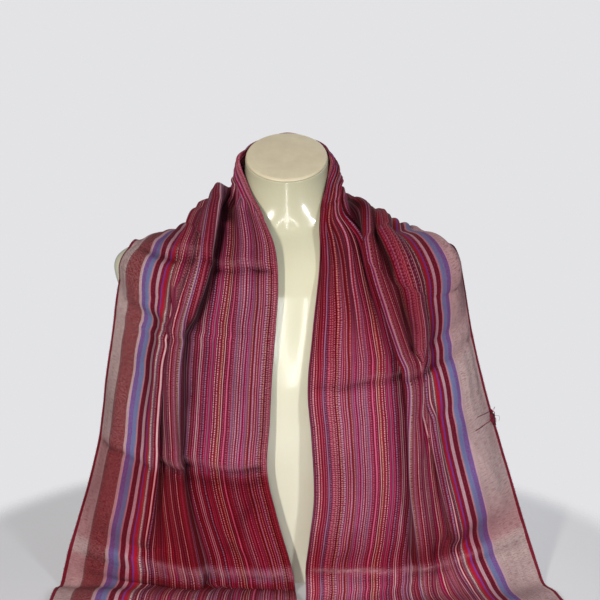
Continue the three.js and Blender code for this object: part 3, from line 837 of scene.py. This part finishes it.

# Painted shade: how deep each point lies in a pleat or a crease, where little light comes, and how much the
# cloth's colour is darkened there.
reach_columns = 8
deep_pleat = 14
padded = np.pad(heights, ((0, 0), (reach_columns, reach_columns)), mode="edge")
higher = np.max([padded[:, k:k + heights.shape[1]] for k in range(2 * reach_columns + 1)], axis=0)
shade_places = (-left_reach, -480, -300, 0, 300, 380, 640, right_reach)
shade_strengths = (0.4, 0.45, 1, 1, 1, 0.45, 0.35, 0.35)
pleat_shade_painted = np.clip((higher - heights) / deep_pleat, 0, 1) ** 1.3
pleat_shade_painted *= np.interp(grid_at, shade_places, shade_strengths)
pleat_shade_painted += np.clip(-crease_depths(grid_at, upper_edges, creases) / 6, 0, 0.6) * (1 - on_table)
pleat_shade_painted = np.clip(pleat_shade_painted + crease_depths(grid_at, upper_edges, painted_shade_strokes), 0, 1)
paled_at_creases = np.clip(crease_depths(grid_at, upper_edges, pale_crease_lines), 0, 1)
under_layer = ((0, 0), (0, under_columns))
carry(scarf, "pleat_shade_painted", np.pad(pleat_shade_painted, under_layer))
carry(scarf, "paled_at_creases", np.pad(paled_at_creases, under_layer))

# The stripes of the weave, from the upper layer's outer selvedge inwards
yarns = {
    "selvedge": seen(86, 44, 48),
    "heather": seen(184, 160, 157),
    "border red": seen(122, 24, 36),
    "border pale": seen(196, 160, 168),
    "border violet": seen(116, 62, 128),
    "border blue": seen(98, 128, 160),
    "border dusky": seen(182, 128, 138),
    "border maroon": seen(94, 12, 28),
    "border lilac": seen(122, 62, 146),
    "border scarlet": seen(176, 24, 44),
    "border cream": seen(246, 228, 212),
    "black": seen(58, 18, 28),
    "plum": seen(104, 36, 62),
    "wine": seen(120, 24, 44),
    "crimson": seen(150, 20, 52),
    "brick": seen(154, 46, 62),
    "rose": seen(166, 60, 90),
    "pink": seen(182, 86, 112),
    "magenta": seen(166, 36, 96),
    "mauve": seen(154, 92, 118),
    "lilac": seen(152, 106, 142),
    "purple": seen(114, 62, 112),
    "slate": seen(130, 100, 124),
    "grey": seen(136, 94, 104),
    "olive": seen(132, 80, 72),
    "ochre": seen(164, 86, 78),
    "dusky": seen(154, 102, 106),
    "blush": seen(180, 128, 136),
    "pale": seen(184, 134, 154),
    "white": seen(192, 150, 162),
    "cream": seen(196, 164, 150),
}
Stripe = namedtuple("Stripe", "width yarn dots")


def charted(chart):
    """The stripes of a weaver's chart: a width, a yarn and, after a slash, the yarn that dots it."""
    stripes = []
    for entry in chart.split(","):
        width, names = entry.split(maxsplit=1)
        yarn, _, dots = (name.strip() for name in names.partition("/"))
        stripes.append(Stripe(float(width), yarn, dots or yarn))
    return stripes


border_stripes = charted("""
    2.4 selvedge / crimson, 41.6 heather, 3.6 border pale, 5.4 border violet, 5.2 border blue,
    3.4 border dusky, 5.4 border maroon, 3.8 border pale, 3.4 border maroon / crimson, 3 border lilac,
    3 border scarlet, 2 wine / ochre, 3.4 border cream / plum, 2.9 plum / grey
""")
middle_stripes = charted("""
    2 crimson, 1 pink, 5 plum / grey, 2.5 purple / slate, 1.2 magenta, 3 wine / dusky, 3.5 blush / wine,
    4 plum / grey, 1.2 lilac, 4 rose / crimson, 3.5 dusky / wine, 3 crimson, 1.2 magenta, 3 grey / plum,
    4 wine / blush, 1.4 mauve, 5 blush / wine, 3.2 plum / grey, 3 crimson, 1 wine, 2.5 pale,
    4 cream / black, 1.2 lilac, 4.5 crimson / wine, 1 white / crimson, 4 crimson / grey, 1.6 ochre / plum,
    3 grey / black, 4 slate / plum, 3 wine / grey, 1.4 lilac, 5 grey / wine, 2.2 plum, 3.4 dusky / black,
    3 crimson, 1.6 slate, 4.6 wine / rose, 2 magenta
""")
fold_stripes = charted("""
    2.7 slate / grey, 1.7 magenta, 2.5 plum, 3.5 brick / rose, 4 ochre / brick, 1.2 wine, 3 rose, 1 pink,
    3 crimson / rose, 1 mauve, 2 rose, 3.5 slate / lilac, 2 brick, 3.5 rose / crimson, 2.5 pale / lilac,
    3 magenta, 3.5 lilac / mauve, 1 plum, 3.5 olive / brick, 4.5 pink / rose, 4 mauve / grey, 1 white,
    2.4 crimson / blush, 1 wine, 2.6 crimson / pale, 1 wine, 5 brick / blush, 3.5 purple / slate,
    1.5 blush, 7.5 brick / crimson
""")


def stripe_width(stripes):
    return sum(stripe.width for stripe in stripes)


seen_stripes = border_stripes + middle_stripes + fold_stripes
hidden_width = scarf_width - stripe_width(seen_stripes)
last_stripe = 24
selvedge_width = 1.6
hidden_stripes = []
for stripe in middle_stripes + fold_stripes[::-1] + middle_stripes[::-1]:
    if stripe_width(hidden_stripes) + stripe.width < hidden_width - last_stripe:
        hidden_stripes.append(stripe)
hidden_stripes.append(Stripe(hidden_width - stripe_width(hidden_stripes) - selvedge_width, "rose", "wine"))
hidden_stripes.append(Stripe(selvedge_width, "selvedge", "selvedge"))
all_stripes = seen_stripes + hidden_stripes

weave = Finish("striped_weave")
plus, minus, times, past, short_of = (
    partial(weave.maths, operation)
    for operation in ("ADD", "SUBTRACT", "MULTIPLY", "GREATER_THAN", "LESS_THAN")
)


def stretched(vector, across_scale, along_scale):
    sizes = {"Vector": vector, "Scale": (across_scale, along_scale, 1)}
    return weave.add("ShaderNodeMapping", sizes).outputs["Vector"]


uv = weave.add("ShaderNodeUVMap", uv_map="cut").outputs["UV"]
on_cut = stretched(uv, scarf_width, scarf_length)


def cut_noise(across_scale, along_scale, detail=2, roughness=0.5):
    """Noise on the cut, with so many cells a millimetre across it and along it."""
    return weave.noise(stretched(on_cut, across_scale, along_scale), 1.0, detail, roughness)


def eased(value, start, stop, low, high):
    """A number taken smoothly from one range to another."""
    sizes = {"Value": value, "From Min": start, "From Max": stop, "To Min": low, "To Max": high}
    return weave.add("ShaderNodeMapRange", sizes, interpolation_type="SMOOTHSTEP").outputs["Result"]


def rest_of(share):
    return minus(1.0, share)


def carried(name):
    """A value that the mesh carries for each of its points."""
    return weave.add("ShaderNodeAttribute", attribute_name=name).outputs["Fac"]


def toned(colour, share, tint):
    """The colour, with a share of a tint laid over it."""
    return weave.mix(share, colour, weave.tinted(colour, tint))


stops_in_a_ramp = 30


def stripe_colours(across, column):
    """The colour of one column of the stripes, by the place across the cut."""
    stops = []
    reached = 0.0
    for stripe in all_stripes:
        stops.append((reached / scarf_width, yarns[getattr(stripe, column)]))
        reached += stripe.width
    colour = None
    for first in range(0, len(stops), stops_in_a_ramp):
        group = stops[first:first + stops_in_a_ramp]
        ramp = weave.ramp(across, group, "CONSTANT")
        colour = ramp if colour is None else weave.mix(past(across, group[0][0]), colour, ramp)
    return colour


place = weave.add("ShaderNodeSeparateXYZ", {0: uv}).outputs
stripe_wander = 1.6
wander = times(minus(cut_noise(0.004, 0.02), 0.5), stripe_wander / scarf_width)
across = plus(place["X"], wander)
yarn = stripe_colours(across, "yarn")
dots = stripe_colours(across, "dots")

# Within the stripes the yarns lie in lanes: a pale line, dotted where the crimson weft covers it,
# and dark gaps beside it
lane_width = 2.8
dot_pitch = 2.35
lanes = plus(times(across, scarf_width / lane_width), times(cut_noise(0.11, 0), 1.6))
lane = weave.maths("FLOOR", lanes)
in_lane = weave.maths("FRACT", lanes)


def lane_noise(offset):
    """A fixed random number for each lane."""
    seed = {"W": plus(lane, offset)}
    return weave.add("ShaderNodeTexWhiteNoise", seed, noise_dimensions="1D").outputs["Value"]


loose = cut_noise(0.4, 0.16, 3, 0.6)
uneven_rows = plus(times(place["Y"], scarf_length / dot_pitch), times(loose, 2.4))
beat = weave.maths("FRACT", plus(uneven_rows, lane_noise(31.5)))
from_dot = weave.maths("ABSOLUTE", minus(beat, 0.5))
dot = eased(from_dot, 0.2, 0.3, 1.0, 0.0)
colour = weave.mix(dot, yarn, dots)
inner = past(across, stripe_width(border_stripes[:-1]) / scarf_width)
middle_of_lane = plus(times(lane_noise(11.5), 0.3), 0.35)
off_line = weave.maths("ABSOLUTE", minus(in_lane, middle_of_lane))
beside_line = times(eased(off_line, 0.22, 0.36, 0.0, 1.0), inner)
beside_line = times(beside_line, eased(lane_noise(111.5), 0.0, 0.9, 0.35, 1.0))
colour = toned(colour, beside_line, (0.42, 0.08, 0.17))
pale_yarn = weave.ramp(lane_noise(91.5), [
    (0.0, seen(232, 194, 196)),
    (0.3, seen(196, 166, 188)),
    (0.52, seen(226, 122, 160)),
    (0.7, seen(206, 168, 148)),
    (0.82, seen(150, 144, 176)),
], "CONSTANT")
gaps = eased(lane_noise(51.5), 0.15, 0.7, 0.15, 1.0)
full_line = rest_of(times(gaps, rest_of(dot)))
line_strength = eased(lane_noise(71.5), 0.1, 0.8, 0.15, 1.0)
pale_line = times(times(times(eased(off_line, 0.13, 0.24, 1.0, 0.0), inner), full_line), line_strength)
colour = weave.mix(pale_line, colour, pale_yarn)
dark_spot = times(times(rest_of(dot), inner), eased(lane_noise(131.5), 0.25, 0.9, 0.0, 0.95))
colour = toned(colour, dark_spot, (0.42, 0.12, 0.22))

# Single yarns differ a little along their length, and the crimson weft runs across all the stripes
streaks = weave.ramp(cut_noise(0.7, 0.014, 3, 0.7), [(0.32, (0.66, 0.58, 0.62)), (0.68, (1.25, 1.3, 1.3))])
colour = toned(colour, plus(times(inner, 0.3), 0.3), streaks)
weft = times(cut_noise(0.06, 1.0, 3, 0.6), plus(times(inner, 0.42), 0.1))
colour = weave.mix(weft, colour, yarns["crimson"])

# The violet and the blue run into each other
violet_start = stripe_width(border_stripes[:3])
blue_stop = stripe_width(border_stripes[:5])
in_blend = times(past(across, violet_start / scarf_width), short_of(across, blue_stop / scarf_width))
blend_share = times(in_blend, eased(cut_noise(0.5, 0.9, 3, 0.7), 0.4, 0.56, 0.0, 0.85))
colour = weave.mix(blend_share, colour, seen(104, 104, 158))

# The border's stripes are flecked with the weft. Its plain outer band is thin enough to show the
# red layer under it and that layer's dark selvedge.
band_edge = stripe_width(border_stripes[:2]) / scarf_width
in_border = times(past(across, band_edge), rest_of(inner))
flecks = eased(cut_noise(0.5, 1.1, 4, 0.75), 0.46, 0.66, 0.0, 0.6)
colour = weave.mix(times(in_border, flecks), colour, seen(146, 62, 88))
outer_band = short_of(across, band_edge)
doubling = carried("doubled")
shows_red = times(times(outer_band, doubling), eased(cut_noise(0.5, 0.6, 5, 0.8), 0.34, 0.64, 0.62, 1.0))
colour = weave.mix(shows_red, colour, yarns["border red"])
specks = weave.ramp(cut_noise(0.14, 1.0, 4, 0.75), [(0.38, (0.5, 0.3, 0.31)), (0.52, (1.0, 1.0, 1.0))])
colour = toned(colour, times(outer_band, 0.75), specks)
at_selvedge = times(times(doubling, rest_of(doubling)), 4.0)
dashes = eased(from_dot, 0.2, 0.3, 1.0, 0.15)
colour = weave.mix(times(times(at_selvedge, dashes), outer_band), colour, yarns["selvedge"])
wear = weave.ramp(cut_noise(0.02, 0.012, 3), [(0.3, (0.9, 0.84, 0.86)), (0.7, (1.17, 1.17, 1.17))])
colour = weave.tinted(colour, wear)

# Tints along the scarf, which even out its tone and paint light and shade into it. Where the cloth turns away
# or hangs doubled it is redder and darker, partly the crimson weft showing more and partly painted shade; at
# the shoulders it is painted darker as shade; where it bends up towards the lamps near the table it is
# painted paler as painted light.
Tint = namedtuple("Tint", "at colour")
plain = (1.0, 1.0, 1.0)
weft_red_and_shade = (0.66, 0.09, 0.16)
shaded_rose = (0.75, 0.6, 0.67)
painted_light = (1.12, 1.16, 1.16)
tone_and_painted_light = [Tint(*row) for row in [
    (-900, plain),
    (-700, plain),
    (-640, weft_red_and_shade),
    (-622, (0.78, 0.12, 0.2)),
    (-616, painted_light),
    (-603, painted_light),
    (-597, weft_red_and_shade),
    (-484, weft_red_and_shade),
    (-474, painted_light),
    (-440, (0.88, 1.02, 0.98)),
    (-270, (0.88, 1.02, 0.98)),
    (-256, shaded_rose),
    (-190, shaded_rose),
    (-130, (1.12, 1.5, 1.32)),
    (-60, plain),
    (90, plain),
    (140, (0.8, 0.36, 0.42)),
    (300, (0.86, 0.46, 0.52)),
    (372, (0.94, 0.84, 0.86)),
    (380, (1.07, 1.15, 1.13)),
    (530, (1.07, 1.15, 1.13)),
    (568, (0.84, 0.42, 0.48)),
    (590, (0.74, 0.26, 0.34)),
    (600, (1.25, 1.45, 1.35)),
    (612, (1.25, 1.45, 1.35)),
    (640, (1.12, 1.25, 1.2)),
    (690, plain),
]]
tint_stops = [((tint.at + left_reach) / scarf_length, tint.colour) for tint in tone_and_painted_light]
tint_share = times(plus(times(inner, 0.57), 0.42), rest_of(times(pale_line, 0.55)))
colour = toned(colour, tint_share, weave.ramp(place["Y"], tint_stops))
# Painted shade: the cloth's colour is taken towards a dark wine in its pleats, its crease troughs, beside the
# lapel and in the right shoulder's valleys.
colour = toned(colour, times(carried("pleat_shade_painted"), 0.95), (0.12, 0.03, 0.06))
# Paler lines along the ridges of some sharp creases.
shows_pale = times(carried("paled_at_creases"), eased(loose, 0.35, 0.6, 0.2, 0.7))
colour = weave.mix(shows_pale, colour, seen(206, 152, 160))


def ribs(direction, scale):
    """The even ribs of one set of yarns."""
    sizes = {"Vector": on_cut, "Scale": scale}
    return weave.add("ShaderNodeTexWave", sizes, bands_direction=direction).outputs["Fac"]


slubs = times(cut_noise(0.5, 0.12, 3), 2.4)
cloth_gloss = {
    "Base Color": colour,
    "Roughness": 0.85,
    "Sheen Weight": 0.02,
    "Sheen Roughness": 0.5,
    "Specular IOR Level": 0.06,
}
weave.settle(cloth_gloss, plus(plus(ribs("X", 0.45), ribs("Y", 0.4)), slubs), strength=0.5, depth=0.6 * mm)
scarf.data.materials.append(weave.material)
part_of(scarf)
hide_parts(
    "scarf_left_end",
    "scarf_left_front",
    "scarf_neck_and_back",
    "scarf_right_front",
    "scarf_right_end",
)


# End hems. At each end the cloth is turned over once in a narrow plain hem, about 7 mm deep, and
# sewn down by machine with a crimson thread.
hem_depth = 7.0
hem_profile = [(-0.2, -0.5), (-0.6, 0.1), (-0.4, 0.7), (0.6, 0.95), (3.5, 0.9), (6.2, 0.95), (hem_depth, 0.1)]
stitch_pitch = 3.4
stitch_length = 2.3
thread_thickness = 0.45
upper_normals = grid_normals(upper_points)


def on_cloth(at, edge, lift):
    """Places on the upper layer, lifted off it."""
    row = np.interp(at, row_places, np.arange(len(row_places)))
    column = edge / upper_width(at) * upper_columns
    i = np.clip(np.floor(row).astype(int), 0, len(row_places) - 2)
    j = np.clip(np.floor(column).astype(int), 0, upper_columns - 1)
    a = (row - i)[..., None]
    b = (column - j)[..., None]
    before, after = (upper_points[k, j] * (1 - b) + upper_points[k, j + 1] * b for k in (i, i + 1))
    return before * (1 - a) + after * a + upper_normals[i, j] * np.asarray(lift)[..., None]


def trim(piece):
    """Adds a small finished piece to the scarf."""
    part_of(piece)


def end_hem(name, end, inwards):
    """A hem along one end of the upper layer. Inwards is 1 or -1 along the scarf."""
    edges = np.linspace(0, 1, upper_columns + 1) * upper_width(end)
    rows = []
    for depth, lift in hem_profile:
        at = np.full_like(edges, end + inwards * max(depth, 0))
        spots = on_cloth(at, edges, lift + 0 * edges)
        ahead = unit(on_cloth(at, edges, 0 * edges) - on_cloth(at + inwards * 12, edges, 0 * edges))
        rows.append(spots + ahead * -min(depth, 0))
    along = np.full((len(rows), len(edges)), end + left_reach)
    along = along + inwards * np.array([max(depth, 0) for depth, _ in hem_profile])[:, None]
    across = np.broadcast_to(edges, along.shape)
    if inwards > 0:
        rows = rows[::-1]
        along = along[::-1]
    hem = grid_piece(name, np.array(rows), across, along)
    hem.data.materials.append(weave.material)
    trim(hem)


def thread_path(name, points, ways=None):
    """A mesh line for a node tree to work along, with a direction at each point."""
    mesh = bpy.data.meshes.new(name)
    links_between = [(i, i + 1) for i in range(len(points) - 1)]
    mesh.from_pydata((np.asarray(points) * mm).tolist(), links_between, [])
    if ways is not None:
        layer = mesh.attributes.new("way_out", "FLOAT_VECTOR", "POINT")
        layer.data.foreach_set("vector", np.asarray(ways, np.float32).reshape(-1))
    return linked(name, mesh)


def row_tree(name, sizes, one_unit):
    """A tree that sets small units along a line. One unit gives a mesh, its turn and its scale."""
    tree = bpy.data.node_groups.new(name, "GeometryNodeTree")
    tree.interface.new_socket("Geometry", in_out="INPUT", socket_type="NodeSocketGeometry")
    for size in ("Pitch", *sizes):
        tree.interface.new_socket(size, in_out="INPUT", socket_type="NodeSocketFloat")
    tree.interface.new_socket("Yarn", in_out="INPUT", socket_type="NodeSocketMaterial")
    tree.interface.new_socket("Geometry", in_out="OUTPUT", socket_type="NodeSocketGeometry")
    given = tree.nodes.new("NodeGroupInput").outputs

    def step(kind, inputs, **settings):
        return add_node(tree, kind, inputs, **settings).outputs[0]

    line = step("GeometryNodeMeshToCurve", {"Mesh": given["Geometry"]})
    spaced = step("GeometryNodeResampleCurve", {"Curve": line, "Length": given["Pitch"]}, mode="LENGTH")
    piece, turn, scale = one_unit(step, given, step("GeometryNodeInputTangent", {}))
    placing = {"Points": spaced, "Instance": piece, "Rotation": turn, "Scale": scale}
    real = step("GeometryNodeRealizeInstances", {"Geometry": step("GeometryNodeInstanceOnPoints", placing)})
    coloured = step("GeometryNodeSetMaterial", {"Geometry": real, "Material": given["Yarn"]})
    add_node(tree, "NodeGroupOutput", {0: coloured})
    return tree


def finished(piece, tree, sizes, finish):
    """The piece's mesh after its node tree, as a plain mesh. The sizes are in millimetres."""
    modifier = piece.modifiers.new("nodes", "NODES")
    modifier.node_group = tree
    values = {"Yarn": finish, **{name: size * mm for name, size in sizes.items()}}
    for item in tree.interface.items_tree:
        if item.in_out == "INPUT" and item.name in values:
            modifier[item.identifier] = values[item.name]
    piece.data = evaluated_mesh(piece)
    piece.modifiers.remove(modifier)
    piece.data.polygons.foreach_set("use_smooth", [True] * len(piece.data.polygons))
    trim(piece)


def evaluated_mesh(piece):
    graph = bpy.context.evaluated_depsgraph_get()
    graph.update()
    return bpy.data.meshes.new_from_object(piece.evaluated_get(graph))


def stitch(step, given, tangent):
    """A bead as long as the stitch and as thick as the thread, laid along the seam."""
    bead = step("GeometryNodeMeshUVSphere", {"Segments": 6, "Rings": 5, "Radius": 0.5})
    turned = step("FunctionNodeAlignRotationToVector", {"Vector": tangent}, axis="Z")
    thickness = given["Thickness"]
    return bead, turned, step("ShaderNodeCombineXYZ", {"X": thickness, "Y": thickness, "Z": given["Length"]})


crimson = Finish("crimson_yarn")
uneven = crimson.noise(crimson.spot(), 300, 3)
red = crimson.ramp(uneven, [(0.42, seen(72, 36, 44)), (0.66, seen(140, 28, 50))])
crimson.settle({"Base Color": red, "Roughness": 0.85, "Specular IOR Level": 0.15})

stitches = row_tree("stitch_row", ["Length", "Thickness"], stitch)
stitch_sizes = {"Pitch": stitch_pitch, "Length": stitch_length, "Thickness": thread_thickness}
for side, end, inwards in (("left", -left_reach, 1), ("right", right_reach, -1)):
    end_hem(f"{side}_end_hem", end, inwards)
    edges = np.linspace(2.5, upper_width(end) - 2.5, 180)
    seam = on_cloth(np.full_like(edges, end + inwards * (hem_depth - 1.6)), edges, np.full_like(edges, 1.05))
    finished(thread_path(f"{side}_hem_stitches", seam), stitches, stitch_sizes, crimson.material)


# Selvedge. Along the cloth's outer edge the crimson weft yarns turn back in small uneven loops. They
# are open arcs of round yarn that stand out from the edge.
loop_pitch = 2.9
loop_radius = 0.62
loop_thickness = 0.26


def weft_loop(step, given, tangent):
    """An open arc of round yarn, turned outwards, a little different each time."""
    sweep = {"Start Angle": math.radians(-100), "Sweep Angle": math.radians(200)}
    arc = step("GeometryNodeCurveArc", {"Resolution": 6, "Radius": given["Radius"], **sweep})
    section = step("GeometryNodeCurvePrimitiveCircle", {"Resolution": 4, "Radius": given["Thickness"]})
    tube = step("GeometryNodeCurveToMesh", {"Curve": arc, "Profile Curve": section})
    outward = step("GeometryNodeInputNamedAttribute", {"Name": "way_out"}, data_type="FLOAT_VECTOR")
    faced = step("FunctionNodeAlignRotationToVector", {"Vector": outward}, axis="X")
    along = {"Rotation": faced, "Vector": tangent}
    laid = step("FunctionNodeAlignRotationToVector", along, axis="Y", pivot_axis="X")
    limits = {"Min": (0.3, 0.6, 0.7), "Max": (1.5, 1.5, 1.2), "Seed": 17}
    return tube, laid, step("FunctionNodeRandomValue", limits, data_type="FLOAT_VECTOR")


loops = row_tree("weft_loops", ["Radius", "Thickness"], weft_loop)
loop_sizes = {"Pitch": loop_pitch, "Radius": loop_radius, "Thickness": loop_thickness / 2}
edge_ways = unit(upper_points[:, 0] - upper_points[:, 1])
finished(thread_path("selvedge_loops", upper_points[:, 0], edge_ways), loops, loop_sizes, crimson.material)


# Pulled yarn. At one place on the right selvedge the crimson weft has worked loose: a small tuft
# with a few fine loops that stand off the edge, and a drawn yarn that runs in from it.
tuft_at = 462
tuft_random = np.random.RandomState(21)
root, in_cloth = on_cloth(np.array([tuft_at, tuft_at], float), np.array([0.0, 10.0]), np.array([0.2, 0.2]))
ahead_row = on_cloth(np.array([tuft_at - 6, tuft_at + 6], float), np.array([0.0, 0.0]), np.zeros(2))
out_way = unit(root - in_cloth)
down_way = unit(ahead_row[1] - ahead_row[0])
off_way = np.cross(down_way, out_way)


def yarn_piece(name, paths, radius):
    """Thin round yarns along paths, as one mesh."""
    curve = bpy.data.curves.new(name, "CURVE")
    curve.dimensions = "3D"
    curve.bevel_depth = radius * mm
    curve.bevel_resolution = 1
    curve.use_fill_caps = True
    for path in paths:
        spline = curve.splines.new("POLY")
        spline.points.add(len(path) - 1)
        spline.points.foreach_set("co", np.c_[np.asarray(path) * mm, np.ones(len(path))].reshape(-1))
    drawn = linked(f"{name}_path", curve)
    mesh = evaluated_mesh(drawn)
    bpy.data.objects.remove(drawn)
    mesh.materials.clear()
    mesh.materials.append(crimson.material)
    trim(linked(name, mesh))


def from_root(out, down, off):
    return root + out_way * out + down_way * down + off_way * off


turn = np.linspace(0, 1, 22)
tuft_paths = []
for _ in range(40):
    start, reach, bow = tuft_random.uniform((-8, 4, -20), (2, 11, 3))
    lift, curl, phase = tuft_random.uniform((0.4, 0.5, 0), (2.2, 1.3, 6.3))
    tuft_paths.append([
        from_root(
            0.3 + bow * 0.4 * math.sin(math.pi * t) + curl * math.sin(9 * t + phase) * t * (1 - t) * 2,
            start + reach * t,
            0.3 + lift * math.sin(math.pi * t),
        )
        for t in turn
    ])
yarn_piece("yarn_tuft", tuft_paths, 0.46)
hair_paths = [
    [from_root(1 + 8 * math.sin(2.7 * t) + 1.4 * t, 1 + 9 * t, 0.6 + 0.8 * t) for t in turn],
    [from_root(0.5 + 6.6 * math.sin(3.1 * t), -6 + 6 * t * t - 5 * t, 0.5 + t) for t in turn],
    [from_root(0.5 + 2.6 * math.sin(3.0 * t), 2 + 7 * t, 0.4 + 0.5 * t) for t in turn],
]
yarn_piece("loose_fibres", hair_paths, 0.17)
drawn_edges = np.linspace(0, 36, 37)
short_edges = drawn_edges[:30]
drawn_paths = [
    on_cloth(tuft_at + 3 - drawn_edges * 0.12, drawn_edges, 0.35 + 0.25 * np.sin(drawn_edges * 1.3)),
    on_cloth(tuft_at - 6 - short_edges * 0.26, short_edges, 0.1 + 0.2 * np.sin(short_edges * 1.7)),
]
yarn_piece("drawn_yarns", drawn_paths, 0.42)


# Table. A plain pale surface that the form and the scarf's ends rest on. It fades out softly all
# round them, so that no hard edge of it shows.
table_reach = 700
table_centre = (0, -0.1, 0)
table_segments = 96
fade_start = 0.42
fade_stop = 0.5
table_turns = np.arange(table_segments) * 2 * math.pi / table_segments
table_ring = np.stack([np.cos(table_turns), np.sin(table_turns), table_turns * 0], axis=1) * table_reach
table = link_mesh("table", table_ring + np.array(table_centre) / mm, [tuple(range(table_segments))])
pale = Finish("pale_table")
spot = pale.spot()
haze = pale.ramp(pale.noise(spot, 3), [(0.3, seen(184, 182, 184)), (0.7, seen(190, 188, 189))])
pale.settle({
    "Base Color": haze,
    "Roughness": 0.55,
    "Emission Color": seen(228, 226, 228),
    "Emission Strength": 0.22,
})
away = pale.add("ShaderNodeVectorMath", {0: spot, 1: table_centre}, operation="DISTANCE").outputs["Value"]
fading = {"Value": away, "From Min": fade_start, "From Max": fade_stop, "To Min": 1.0, "To Max": 0.0}
fade = pale.add("ShaderNodeMapRange", fading, interpolation_type="SMOOTHERSTEP").outputs["Result"]
clear = pale.add("ShaderNodeBsdfTransparent").outputs[0]
blended = pale.add("ShaderNodeMixShader", {0: fade, 1: clear, 2: pale.shader.outputs[0]}).outputs[0]
set_inputs(pale.tree, pale.tree.nodes["Material Output"], {"Surface": blended})
table.data.materials.append(pale.material)


# Lights. A small lamp from the left front, a softer one from the right, a tall dim strip before the
# form for its gloss, a wide one behind it, and a pale room whose walls look brighter than their light.
def area_light(name, place, aim, size, power, colour):
    light = bpy.data.lights.new(name, "AREA")
    light.shape = "RECTANGLE"
    light.size, light.size_y = size
    light.energy = power
    light.color = colour
    lamp = linked(name, light)
    lamp.location = place
    way = np.array(aim) - np.array(place)
    tilt = math.acos(way[2] / np.linalg.norm(way)) - math.pi
    lamp.rotation_euler = (tilt, 0, math.atan2(way[1], way[0]) + math.pi / 2)


chest = (0, 0, 0.28)
area_light("key_lamp", (-0.66, -1.58, 0.95), chest, (0.08, 0.34), 19, (1.0, 0.96, 0.9))
area_light("fill_lamp", (0.9, -1.4, 0.8), chest, (0.14, 0.5), 11, (0.9, 0.95, 1.0))
area_light("strip_lamp", (0.015, -1.9, 0.24), chest, (0.07, 1.5), 5, (1.0, 1.0, 1.0))
area_light("back_lamp", (0.4, 1.6, 1.1), (0, 0, 0.3), (0.9, 0.9), 12, (0.95, 0.97, 1.0))
world = bpy.data.worlds.new("pale_room")
world.use_nodes = True
air = world.node_tree
room = air.nodes["Background"]
set_inputs(air, room, {"Color": (0.86, 0.9, 0.96), "Strength": 0.27})
wall = add_node(air, "ShaderNodeBackground", {"Color": seen(227, 227, 230)})
straight = add_node(air, "ShaderNodeLightPath").outputs["Is Camera Ray"]
sides = {0: straight, 1: room.outputs[0], 2: wall.outputs[0]}
either = add_node(air, "ShaderNodeMixShader", sides)
set_inputs(air, air.nodes["World Output"], {"Surface": either.outputs[0]})
bpy.context.scene.world = world
